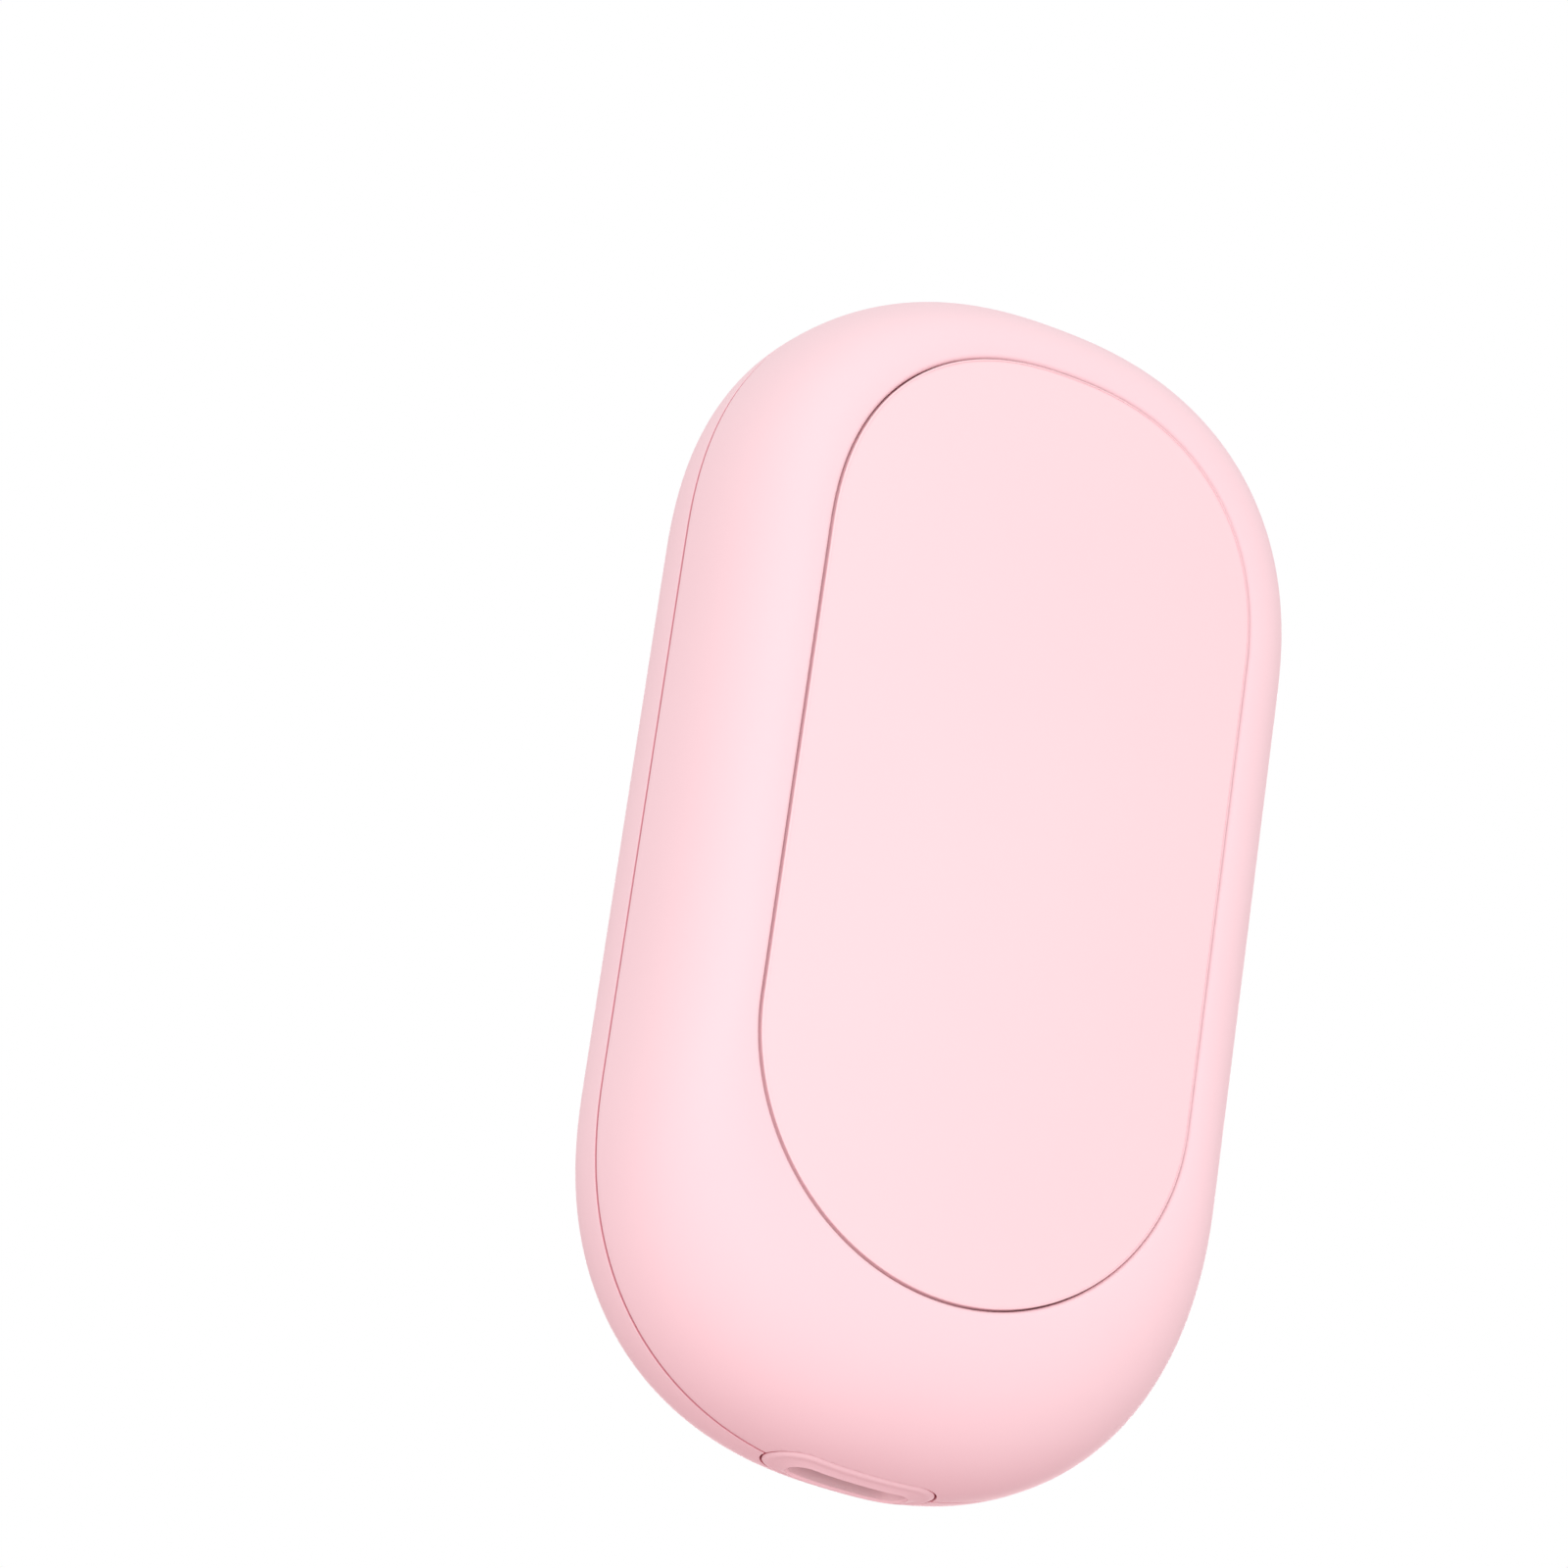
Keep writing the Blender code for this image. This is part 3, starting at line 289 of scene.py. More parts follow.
class Skin:
    """A mesh in the making: rows of points, each joined to the next by quads."""

    def __init__(self):
        self.work = bmesh.new()

    def sweep(self, rings, looped=False, bare_and_shaded=()):
        """Joins a run of rings, with some of its steps unsprayed and darker with painted shade, and returns
        their rows.
        """
        rows = [[self.work.verts.new(upright(point)) for point in ring] for ring in rings]
        pairs = list(zip(rows, rows[1:]))
        if looped:
            pairs.append((rows[-1], rows[0]))
        for number, (here, there) in enumerate(pairs):
            for i in range(len(here)):
                j = (i + 1) % len(here)
                face = self.work.faces.new((here[i], here[j], there[j], there[i]))
                face.material_index = BARE_AND_SHADED if number in bare_and_shaded else SPRAYED
        return rows

    def cap(self, *rows, look=SPRAYED):
        """Closes rows with one flat face each."""
        for row in rows:
            self.work.faces.new(row).material_index = look

    def fill(self, rows, look=SPRAYED):
        """Fills the flat ground between an outer row and the rows of its holes."""
        edges = []
        for row in rows:
            edges.extend(self.work.edges.get((a, b)) for a, b in zip(row, row[1:] + row[:1]))
        ground = bmesh.ops.triangle_fill(self.work, use_beauty=True, edges=edges)
        for part in ground["geom"]:
            if isinstance(part, bmesh.types.BMFace):
                part.material_index = look

    def item(self, name, *looks):
        """Ends the mesh and puts it in the scene."""
        bmesh.ops.recalc_face_normals(self.work, faces=self.work.faces)
        # A wide flat skin such as the plate can come out inside out, which its volume then tells
        if self.work.calc_volume(signed=True) < 0:
            bmesh.ops.reverse_faces(self.work, faces=self.work.faces)
        mesh = bpy.data.meshes.new(name)
        self.work.to_mesh(mesh)
        self.work.free()
        for look in looks:
            mesh.materials.append(look)
        smooth(mesh)
        return placed(name, mesh)

    def piece(self, name, looks, body, node):
        """Ends the mesh as a piece that rides on a body in place of a node."""
        made = self.item(name, *looks)
        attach(made, body)
        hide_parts(node)
        return made


def smooth(mesh):
    """Shades a mesh smooth, but keeps its real corners."""
    mesh.shade_smooth()
    mesh.set_sharp_from_angle(angle=math.radians(SHARP_DEGREES))


# Finishes

def srgb(code):
    """A hex colour as linear red, green, blue and alpha, by the sRGB standard's own curve."""
    channels = [int(code[i:i + 2], 16) / 255 for i in (1, 3, 5)]
    linear = [c / 12.92 if c <= 0.04045 else ((c + 0.055) / 1.055) ** 2.4 for c in channels]
    return (*linear, 1.0)


def per_metre(millimetres):
    """The texture scale that gives a pattern of this real size."""
    return 1 / (millimetres * MM)


def add(tree, kind, links=(), **settings):
    """Adds one node, sets its properties, and sets or links its inputs."""
    made = tree.nodes.new("ShaderNode" + kind)
    for name, value in settings.items():
        setattr(made, name, value)
    for name, value in dict(links).items():
        if isinstance(value, bpy.types.NodeSocket):
            tree.links.new(value, made.inputs[name])
        else:
            made.inputs[name].default_value = value
    return made


def finish_named(name, **values):
    """A new material: its node tree, its shader with the values that are even all over, and the place."""
    made = bpy.data.materials.new(name)
    made.use_nodes = True
    tree = made.node_tree
    shader = tree.nodes["Principled BSDF"]
    for socket, value in values.items():
        shader.inputs[socket.replace("_", " ")].default_value = value
    return made, tree, shader, add(tree, "TexCoord").outputs["Object"]


def coloured(tree, shader, pattern, low, high, rough, vary):
    """Lets a pattern carry the colour from low to high, and the roughness a little each way."""
    mix = add(tree, "Mix", {"Factor": pattern}, data_type="RGBA")
    mix.inputs["A"].default_value = srgb(low)
    mix.inputs["B"].default_value = srgb(high)
    tree.links.new(mix.outputs["Result"], shader.inputs["Base Color"])
    reach = {"Value": pattern, "To Min": rough - vary, "To Max": rough + vary}
    spread = add(tree, "MapRange", reach)
    tree.links.new(spread.outputs["Result"], shader.inputs["Roughness"])


def raised(tree, shader, pattern, height, strength=1.0):
    """Lets a pattern stand up from the surface by a height in millimetres."""
    bump = add(tree, "Bump", {"Height": pattern, "Strength": strength, "Distance": height * MM})
    tree.links.new(bump.outputs["Normal"], shader.inputs["Normal"])


def stripes(tree, place, axis, pitch, share):
    """1 on parallel stripes across an axis, which fill a share of their pitch."""
    apart = add(tree, "SeparateXYZ", {"Vector": place})
    turns = add(tree, "Math", {0: apart.outputs[axis], 1: per_metre(pitch)}, operation="MULTIPLY")
    within = add(tree, "Math", {0: turns.outputs[0]}, operation="FRACT")
    return add(tree, "Math", {0: within.outputs[0], 1: share}, operation="LESS_THAN").outputs[0]


def soft_touch_on_abs(name, dark, light):
    """Soft-touch lacquer sprayed on moulded ABS: an even, matt, powdery pink with hardly any gloss."""
    made, tree, shader, place = finish_named(name, IOR=1.47, Specular_IOR_Level=0.1)
    # Passes of the spray gun overlap about every 14 mm
    drift = add(tree, "TexNoise", {"Vector": place, "Scale": per_metre(14.0), "Detail": 2.0})
    coloured(tree, shader, drift.outputs["Fac"], dark, light, rough=0.55, vary=0.03)
    # Real spray grain is about 0.03 mm; it is drawn at 0.12 mm so that a close view can hold it
    grain = add(tree, "TexNoise", {"Vector": place, "Scale": per_metre(0.12), "Detail": 2.0})
    raised(tree, shader, grain.outputs["Fac"], height=0.004, strength=0.15)
    return made


def moulded_abs_with_painted_shade():
    """ABS dyed through and left as moulded inside the joints, where no spray reaches: a deeper pink, which
    also paints the shade in seams, holes and the port's recess.
    """
    made, tree, shader, place = finish_named("moulded_abs_unpainted_with_painted_shade", IOR=1.53, Specular_IOR_Level=0.3)
    # The melt flows into the thin walls in streaks some 6 mm wide
    drift = add(tree, "TexNoise", {"Vector": place, "Scale": per_metre(6.0), "Detail": 2.0})
    coloured(tree, shader, drift.outputs["Fac"], "#E5A0AB", "#EAA7B2", rough=0.50, vary=0.04)
    # The tool's spark-eroded texture is about 0.05 mm; it is drawn at 0.15 mm to show in a close view
    grain = add(tree, "TexNoise", {"Vector": place, "Scale": per_metre(0.15), "Detail": 1.0})
    raised(tree, shader, grain.outputs["Fac"], height=0.006, strength=0.3)
    return made


def satin_paint_on_aluminium():
    """Pink satin paint baked on pressed aluminium: as pink as the shells, but tighter and a little firmer."""
    name = "satin_paint_on_pressed_aluminium"
    made, tree, shader, place = finish_named(name, IOR=1.5, Specular_IOR_Level=0.3)
    # The paint's coat varies over about 22 mm, a little more than half the plate's width
    drift = add(tree, "TexNoise", {"Vector": place, "Scale": per_metre(22.0), "Detail": 2.0})
    coloured(tree, shader, drift.outputs["Fac"], "#FBD9DE", "#FCDCE0", rough=0.42, vary=0.02)
    # Orange peel of the paint, about half a millimetre across and a few thousandths deep
    peel = add(tree, "TexNoise", {"Vector": place, "Scale": per_metre(0.5), "Detail": 1.0})
    raised(tree, shader, peel.outputs["Fac"], height=0.003, strength=0.2)
    return made


def drawn_stainless_steel():
    """Stainless steel drawn into a socket's shell: bright grey with fine draw lines along its length."""
    made, tree, shader, place = finish_named("drawn_stainless_steel", Metallic=1.0)
    # Draw lines are about 0.02 mm apart; they are drawn 0.15 mm apart to show, and 20 times as long
    along = add(tree, "Mapping", {"Vector": place, "Scale": (1.0, 1.0, 1 / 20)})
    size = {"Vector": along.outputs["Vector"], "Scale": per_metre(0.15), "Detail": 2.0}
    lines = add(tree, "TexNoise", size)
    coloured(tree, shader, lines.outputs["Fac"], "#B7B6B3", "#D2D1CD", rough=0.28, vary=0.06)
    raised(tree, shader, lines.outputs["Fac"], height=0.002, strength=0.3)
    return made


def zinc_plated_steel():
    """Zinc-plated steel screws: cool silver, slightly cloudy where the passivation varies."""
    made, tree, shader, place = finish_named("zinc_plated_steel", Metallic=1.0)
    # The clouds of the passivation are about 0.8 mm across on a screw this small
    cloud = add(tree, "TexNoise", {"Vector": place, "Scale": per_metre(0.8), "Detail": 3.0})
    coloured(tree, shader, cloud.outputs["Fac"], "#B4BAC0", "#D6DBDF", rough=0.32, vary=0.08)
    return made


def glass_filled_nylon():
    """Nylon filled with short glass fibres and moulded black: matt, with paler flecks of fibre ends."""
    made, tree, shader, place = finish_named("glass_filled_nylon_black", IOR=1.53)
    # The glass fibres are about 0.25 mm long
    fleck = add(tree, "TexNoise", {"Vector": place, "Scale": per_metre(0.25), "Detail": 3.0})
    coloured(tree, shader, fleck.outputs["Fac"], "#121213", "#2B2B2D", rough=0.55, vary=0.06)
    raised(tree, shader, fleck.outputs["Fac"], height=0.006, strength=0.4)
    return made


def gilt_contacts_in_nylon():
    """Black nylon tongue with gold-plated contacts side by side at the socket's half-millimetre pitch."""
    made, tree, shader, place = finish_named("gilt_contacts_in_black_nylon")
    contact = stripes(tree, place, "X", pitch=0.5, share=0.5)
    coloured(tree, shader, contact, "#161617", "#D8B25E", rough=0.40, vary=-0.12)
    tree.links.new(contact, shader.inputs["Metallic"])
    raised(tree, shader, contact, height=0.02)
    return made


def etched_polyimide_film():
    """Amber polyimide film with an etched copper track, 1.2 mm wide, that runs back and forth across it."""
    made, tree, shader, place = finish_named("etched_polyimide_film", IOR=1.7)
    track = stripes(tree, place, "Z", pitch=2.4, share=0.5)
    coloured(tree, shader, track, "#B4691F", "#D98B45", rough=0.30, vary=0.05)
    raised(tree, shader, track, height=0.03)
    return made


def foam(name, dark, light, cell):
    """Sheet foam: chalky and soft, broken up by its fine closed cells."""
    made, tree, shader, place = finish_named(name, IOR=1.4, Specular_IOR_Level=0.1)
    # The cells stand a twentieth of a millimetre deep where a cut opens them
    cells = add(tree, "TexVoronoi", {"Vector": place, "Scale": per_metre(cell)})
    coloured(tree, shader, cells.outputs["Distance"], light, dark, rough=0.93, vary=0.04)
    raised(tree, shader, cells.outputs["Distance"], height=-0.05)
    return made


def aluminium_pouch_laminate():
    """Aluminium foil laminated with nylon for the cell's pouch: dull silver with soft shallow creases."""
    made, tree, shader, place = finish_named("aluminium_pouch_laminate", Metallic=1.0)
    # The foil creases every 6 mm or so where it is drawn over the cell
    crease = add(tree, "TexNoise", {"Vector": place, "Scale": per_metre(6.0), "Detail": 4.0})
    coloured(tree, shader, crease.outputs["Fac"], "#B0B3B8", "#D0D3D6", rough=0.36, vary=0.06)
    raised(tree, shader, crease.outputs["Fac"], height=0.08, strength=0.5)
    return made


def solder_mask_on_laminate():
    """Green solder mask on a glass laminate board: glossy, lighter where copper lies under it."""
    made, tree, shader, place = finish_named("solder_mask_on_glass_laminate", IOR=1.55)
    # Areas of copper about 3 mm across, with straight sides
    copper = add(tree, "TexVoronoi", {"Vector": place, "Scale": per_metre(3.0)}, distance="MANHATTAN")
    coloured(tree, shader, copper.outputs["Distance"], "#1E6E40", "#0C3D24", rough=0.30, vary=0.05)
    raised(tree, shader, copper.outputs["Distance"], height=-0.03)
    return made


def silicone_insulation(name, dark, light):
    """Extruded silicone rubber round a lead's wire: strong colour, soft gloss, a little dusty."""
    made, tree, shader, place = finish_named(name, IOR=1.41)
    # Silicone holds dust in spots of about 0.6 mm
    dust = add(tree, "TexNoise", {"Vector": place, "Scale": per_metre(0.6), "Detail": 3.0})
    coloured(tree, shader, dust.outputs["Fac"], dark, light, rough=0.45, vary=0.08)
    return made


def pressed_or_moulded(name, dark, light, grain_size, rough, ior=1.5):
    """A small body pressed or moulded from a filled powder: one tone, broken by its fine grain."""
    made, tree, shader, place = finish_named(name, IOR=ior)
    grain = add(tree, "TexNoise", {"Vector": place, "Scale": per_metre(grain_size), "Detail": 3.0})
    coloured(tree, shader, grain.outputs["Fac"], dark, light, rough=rough, vary=0.06)
    raised(tree, shader, grain.outputs["Fac"], height=0.01, strength=0.4)
    return made


def clear_acrylic():
    """Clear acrylic of the light guide: water-clear, with a breath of haze from the tool."""
    made, tree, shader, place = finish_named("clear_moulded_acrylic", IOR=1.49, Transmission_Weight=1.0)
    # The tool's polish marks are about 1 mm across
    haze = add(tree, "TexNoise", {"Vector": place, "Scale": per_metre(1.0), "Detail": 2.0})
    coloured(tree, shader, haze.outputs["Fac"], "#F1F4F6", "#FAFBFC", rough=0.08, vary=0.04)
    return made


# A shell's looks in the order of the face looks above: sprayed, then unsprayed in a deeper pink that also
# paints shade in seams, holes and the port's recess
SHELL_LOOKS = [soft_touch_on_abs("soft_touch_lacquer_on_abs", "#FBD9DF", "#FCDCE1"), moulded_abs_with_painted_shade()]
# A tone deeper pink in the pressed power sign: painted shade in its strokes
SIGN_SHADE_LOOK = soft_touch_on_abs("soft_touch_lacquer_sign_shade", "#F1C9D0", "#F3CDD4")


def finish_inner_parts():
    """Gives each node that keeps its own shape the finish of the real part."""
    chips = pressed_or_moulded("moulded_epoxy_black", "#17171A", "#2A2A2D", grain_size=0.2, rough=0.60)
    board = solder_mask_on_laminate()
    screw = zinc_plated_steel()
    lamp = pressed_or_moulded("lamp_resin_on_ceramic", "#EFE6C4", "#F8F1DA", grain_size=0.3, rough=0.35)
    ceramic = pressed_or_moulded("fired_ceramic", "#9A7552", "#B58F68", grain_size=0.2, rough=0.45, ior=1.6)
    ferrite = pressed_or_moulded("pressed_ferrite", "#38383B", "#55555A", grain_size=0.25, rough=0.65)
    acetal = pressed_or_moulded("moulded_acetal_white", "#E4E3DC", "#F0EFEA",
                                grain_size=1.0, rough=0.40, ior=1.48)
    finishes = {
        "usb_socket_shell": drawn_stainless_steel(),
        "usb_contact_tongue": gilt_contacts_in_nylon(),
        "heater_film": etched_polyimide_film(),
        "insulation_pad": foam("silicone_foam_white", "#CFCEC9", "#F0EFEB", cell=0.6),
        "temperature_sensor": chips,
        "battery_cell": aluminium_pouch_laminate(),
        "protection_board": board,
        "battery_foam": foam("polyurethane_foam_grey", "#3E3E40", "#6C6C6F", cell=0.5),
        "battery_lead_red": silicone_insulation("silicone_insulation_red", "#8E1512", "#B3221D"),
        "battery_lead_black": silicone_insulation("silicone_insulation_black", "#141415", "#29292B"),
        "main_board": board,
        "switch_body": glass_filled_nylon(),
        "switch_plunger": acetal,
        "light_guide": clear_acrylic(),
        "charger_chip": chips,
        "controller_chip": chips,
        "heater_switch_chip": chips,
        "power_inductor": ferrite,
        "input_capacitor": ceramic,
        "output_capacitor": ceramic,
    }
    finishes.update({"board_screw_%d" % number: screw for number in range(1, 5)})
    finishes.update({"lamp_%d" % number: lamp for number in range(1, 4)})
    for node, look in finishes.items():
        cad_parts[node].material_slots[0].material = look


# Shells

def combine(shell, skin, operation):
    """Joins a closed skin to a shell or cuts it out, and keeps the result as the shell's own mesh."""
    tool = skin.item("tool", *SHELL_LOOKS)
    step = shell.modifiers.new("combine", "BOOLEAN")
    step.object = tool
    step.operation = operation
    bpy.context.view_layer.update()
    graph = bpy.context.evaluated_depsgraph_get()
    shaped = bpy.data.meshes.new_from_object(shell.evaluated_get(graph))
    shell.modifiers.clear()
    shell.data = shaped
    bpy.data.objects.remove(tool)
    smooth(shaped)


def four_bars(profile, middle, spacing, length):
    """Four short bars along the body, two on each side, from one (x, z) profile."""
    skin = Skin()
    for side in (-1, 1):
        for end in (-1, 1):
            centre = middle + end * spacing / 2
            ends = (centre - length / 2, centre + length / 2)
            rows = skin.sweep([[(side * x, y, z) for x, z in profile] for y in ends], bare_and_shaded=[0])
            skin.cap(*rows, look=BARE_AND_SHADED)
    return skin


def snap_hooks(room=0.0):
    """The tongue's snap hooks or, with some room round them, their pockets in the front shell."""
    inner = BODY_WIDTH / 2 - REBATE_WALL - FIT - REBATE_WALL / 2
    outer = BODY_WIDTH / 2 - REBATE_WALL + SNAP_BITE + room
    high = TONGUE_TOP - SNAP_BITE + room
    low = high - SNAP_HEIGHT - 2 * room
    profile = [(inner, low), (outer, low), (outer, (low + high) / 2), (inner, high)]
    return four_bars(profile, 0.0, SNAP_SPACING, SNAP_LENGTH + 2 * room)


def battery_ribs():
    """Ribs from the front shell's side walls to the battery."""
    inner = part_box("battery_cell")[1].x / MM + FIT
    outer = BODY_WIDTH / 2 - WALL + FIT
    high = LEDGE_BACK - RIB_TOP_GAP
    profile = [(inner, REBATE_TOP), (outer, REBATE_TOP), (outer, high), (inner, high)]
    return four_bars(profile, RIB_MIDDLE, RIB_SPACING, RIB_THICKNESS)


def make_front_shell():
    """Front moulding, with soft edges at the seam and a rim that rolls down to the plate."""
    edge = FRONT_SEAM_EDGE
    rings = []
    for back, up in rounding():
        rings.append(level(body_outline(edge * back), SEAM_LIP + edge * up))
    rim_line = plate_outline(RIM_OUTSET)
    rings.extend(corner_rings(body_outline(), rim_line, SEAM_LIP + edge, RIM_TOP, FRONT_EXPONENT)[1:])
    for back, up in reversed(rounding()[:-1]):
        rings.append(level(plate_outline(PLATE_GAP + RIM_EDGE * up), RIM_TOP - RIM_EDGE * back))
    sprayed = len(rings)
    rings.append(level(plate_outline(PLATE_GAP), LEDGE_TOP))
    rings.append(level(plate_outline(PLATE_GAP - LEDGE_WIDTH), LEDGE_TOP))
    rings.append(level(plate_outline(PLATE_GAP - LEDGE_WIDTH), LEDGE_BACK))
    inner = corner_rings(body_outline(WALL), plate_outline(), REBATE_TOP, LEDGE_BACK, FRONT_EXPONENT)
    rings.extend(reversed(inner))
    rings.append(level(body_outline(REBATE_WALL), REBATE_TOP))
    rings.append(level(body_outline(REBATE_WALL), SEAM_LIP))
    rings.append(level(body_outline(SEAM_DEPTH), SEAM_LIP))
    skin = Skin()
    # The ledge under the plate, the inside and the seam's inner face are unsprayed, in a deeper pink that
    # also paints their shade
    skin.sweep(rings, looped=True, bare_and_shaded=range(sprayed, len(rings) - 1))
    shell = skin.piece("front_shell_moulding", SHELL_LOOKS, "housing", "front_shell")
    combine(shell, battery_ribs(), "UNION")
    combine(shell, snap_hooks(FIT), "DIFFERENCE")
    cut_port(shell)


def lamp_places():
    """Centres of the three lamp holes."""
    angles = [math.radians(LAMP_MIDDLE_DEGREES + step * LAMP_PITCH_DEGREES) for step in (-1, 0, 1)]
    return [(LAMP_CIRCLE * math.cos(a), BUTTON_ALONG + LAMP_CIRCLE * math.sin(a)) for a in angles]


def tray_rings():
    """Rings of the rear moulding: inner ones up to the joint, then outer ones from the seam's floor."""
    edge = REAR_SEAM_EDGE
    start = SEAM_LIP + edge
    flat = body_outline(BACK_ROUND)
    inner = corner_rings(body_outline(WALL), flat, start, REAR_FLOOR, BACK_EXPONENT)[::-1]
    inner.append(level(body_outline(WALL), TONGUE_TOP))
    inner.append(level(body_outline(REBATE_WALL + FIT), TONGUE_TOP))
    inner.append(level(body_outline(REBATE_WALL + FIT), SEAM_LIP - SEAM_FIT))
    inner.append(level(body_outline(SEAM_DEPTH), SEAM_LIP - SEAM_FIT))
    outer = [level(body_outline(SEAM_DEPTH), -SEAM_LIP)]
    outer.extend(level(body_outline(edge * back), -SEAM_LIP - edge * up) for back, up in rounding())
    outer.extend(corner_rings(body_outline(), flat, start, -REAR_DEPTH, BACK_EXPONENT)[1:])
    # One more ring on the flat keeps its shading level right up to the rounding
    outer.append(level(body_outline(BACK_ROUND + FIT), -REAR_DEPTH))
    return inner, outer


def button_hole_profile():
    """The back round the button, as (radius, z): the sprayed dish, then the unsprayed hole and collar, darker
    with painted shade.
    """
    hole = BUTTON_RADIUS + BUTTON_GAP
    inner_edge = hole + DISH_LIP
    dish = [(DISH_EDGE + FIT, -REAR_DEPTH)]
    for step in range(DISH_STEPS + 1):
        fall = (1 - math.cos(math.pi * step / DISH_STEPS)) / 2
        radius = DISH_EDGE + (inner_edge - DISH_EDGE) * step / DISH_STEPS
        dish.append((radius, -REAR_DEPTH + (BUTTON_FACE + REAR_DEPTH) * fall))
    for back, up in reversed(rounding()[:-1]):
        dish.append((hole + DISH_LIP * up, BUTTON_FACE + DISH_LIP * back))
    collar = BUTTON_RADIUS + FLANGE_WIDTH + FIT
    collar_top = REAR_FLOOR + COLLAR_HEIGHT
    return dish, [(hole, REAR_FLOOR), (collar, REAR_FLOOR), (collar, collar_top),
                  (collar + COLLAR_WALL, collar_top), (collar + COLLAR_WALL, REAR_FLOOR)]


def lamp_hole_profile():
    """A lamp hole, as (radius, z): its softened sprayed rim, then its unsprayed wall, darker with painted
    shade.
    """
    rim = [(LAMP_HOLE + 2 * LAMP_RIM, -REAR_DEPTH)]
    for back, up in reversed(rounding()):
        rim.append((LAMP_HOLE + LAMP_RIM * up, -REAR_DEPTH + LAMP_RIM * back))
    return rim, [(LAMP_HOLE, REAR_FLOOR)]


def board_posts():
    """The four screw posts, rooted in the wall because they stand where the floor starts to curve up."""
    post = [(POST_RADIUS, POST_ROOT), (POST_RADIUS, POST_TOP)]
    pilot = [(PILOT_RADIUS, POST_TOP), (PILOT_RADIUS, PILOT_FLOOR)]
    skin = Skin()
    for x in (-POST_ACROSS, POST_ACROSS):
        for y in (-POST_ALONG, POST_ALONG):
            rings = [circle(radius, z, x, y, HOLE_STEPS) for radius, z in post + pilot]
            rows = skin.sweep(rings, bare_and_shaded=range(len(rings)))
            skin.cap(rows[0], rows[-1], look=BARE_AND_SHADED)
    return skin


def make_rear_shell():
    """Rear moulding: tray with tongue and snap hooks, dish, button hole and collar, lamp holes, posts."""
    skin = Skin()
    inner, outer = tray_rings()
    # The inside and the seam's reveal are unsprayed, in a deeper pink that also paints the seam's shade
    rows = skin.sweep(inner + outer, bare_and_shaded=range(len(inner) + 1))
    back_rows = [rows[-1]]
    floor_rows = [rows[0]]
    holes = [(button_hole_profile(), 0.0, BUTTON_ALONG, TURN_STEPS)]
    holes.extend((lamp_hole_profile(), x, y, HOLE_STEPS) for x, y in lamp_places())
    for (sprayed, bare_and_shaded), x, y, steps in holes:
        rings = [circle(radius, z, x, y, steps) for radius, z in sprayed + bare_and_shaded]
        # Hole walls are unsprayed, in a deeper pink that also paints their shade
        rows = skin.sweep(rings, bare_and_shaded=range(len(sprayed) - 1, len(rings)))
        back_rows.append(rows[0])
        floor_rows.append(rows[-1])
    skin.fill(back_rows)
    skin.fill(floor_rows, look=BARE_AND_SHADED)
    shell = skin.piece("rear_shell_moulding", SHELL_LOOKS, "housing", "rear_shell")
    combine(shell, board_posts(), "UNION")
    combine(shell, snap_hooks(), "UNION")
    cut_port(shell)


# Heated plate and power button

def make_plate():
    """Heated plate: a flat pressed capsule with a softened edge."""
    rings = [level(plate_outline(), FRONT_DEPTH - PLATE_THICKNESS)]
    for back, up in reversed(rounding()):
        rings.append(level(plate_outline(-PLATE_EDGE * up), FRONT_DEPTH - PLATE_EDGE * back))
    rings.append(level(plate_outline(-PLATE_EDGE - FIT), FRONT_DEPTH))
    skin = Skin()
    rows = skin.sweep(rings)
    skin.cap(rows[0], rows[-1])
    skin.piece("heated_plate_face", [satin_paint_on_aluminium()], "housing", "heating_plate")


def sign_depth(x, y):
    """How far the power sign, a bar in an open ring, is pressed in at a point of the button."""
    bar = math.hypot(x, y - min(max(y, SIGN_BAR_LOW), SIGN_BAR_HIGH))
    arc_x, arc_y = abs(x), y - SIGN_ARC_RISE
    open_half = math.radians(SIGN_OPEN_DEGREES)
    if math.atan2(arc_x, arc_y) > open_half:
        arc = abs(math.hypot(arc_x, arc_y) - SIGN_ARC_RADIUS)
    else:
        arc = math.hypot(arc_x - SIGN_ARC_RADIUS * math.sin(open_half),
                         arc_y - SIGN_ARC_RADIUS * math.cos(open_half))
    near = (min(bar, arc) - SIGN_HALF_STROKE + SIGN_SLOPE / 2) / SIGN_SLOPE
    near = min(max(near, 0.0), 1.0)
    return SIGN_DEPTH * (1 - near * near * (3 - 2 * near))


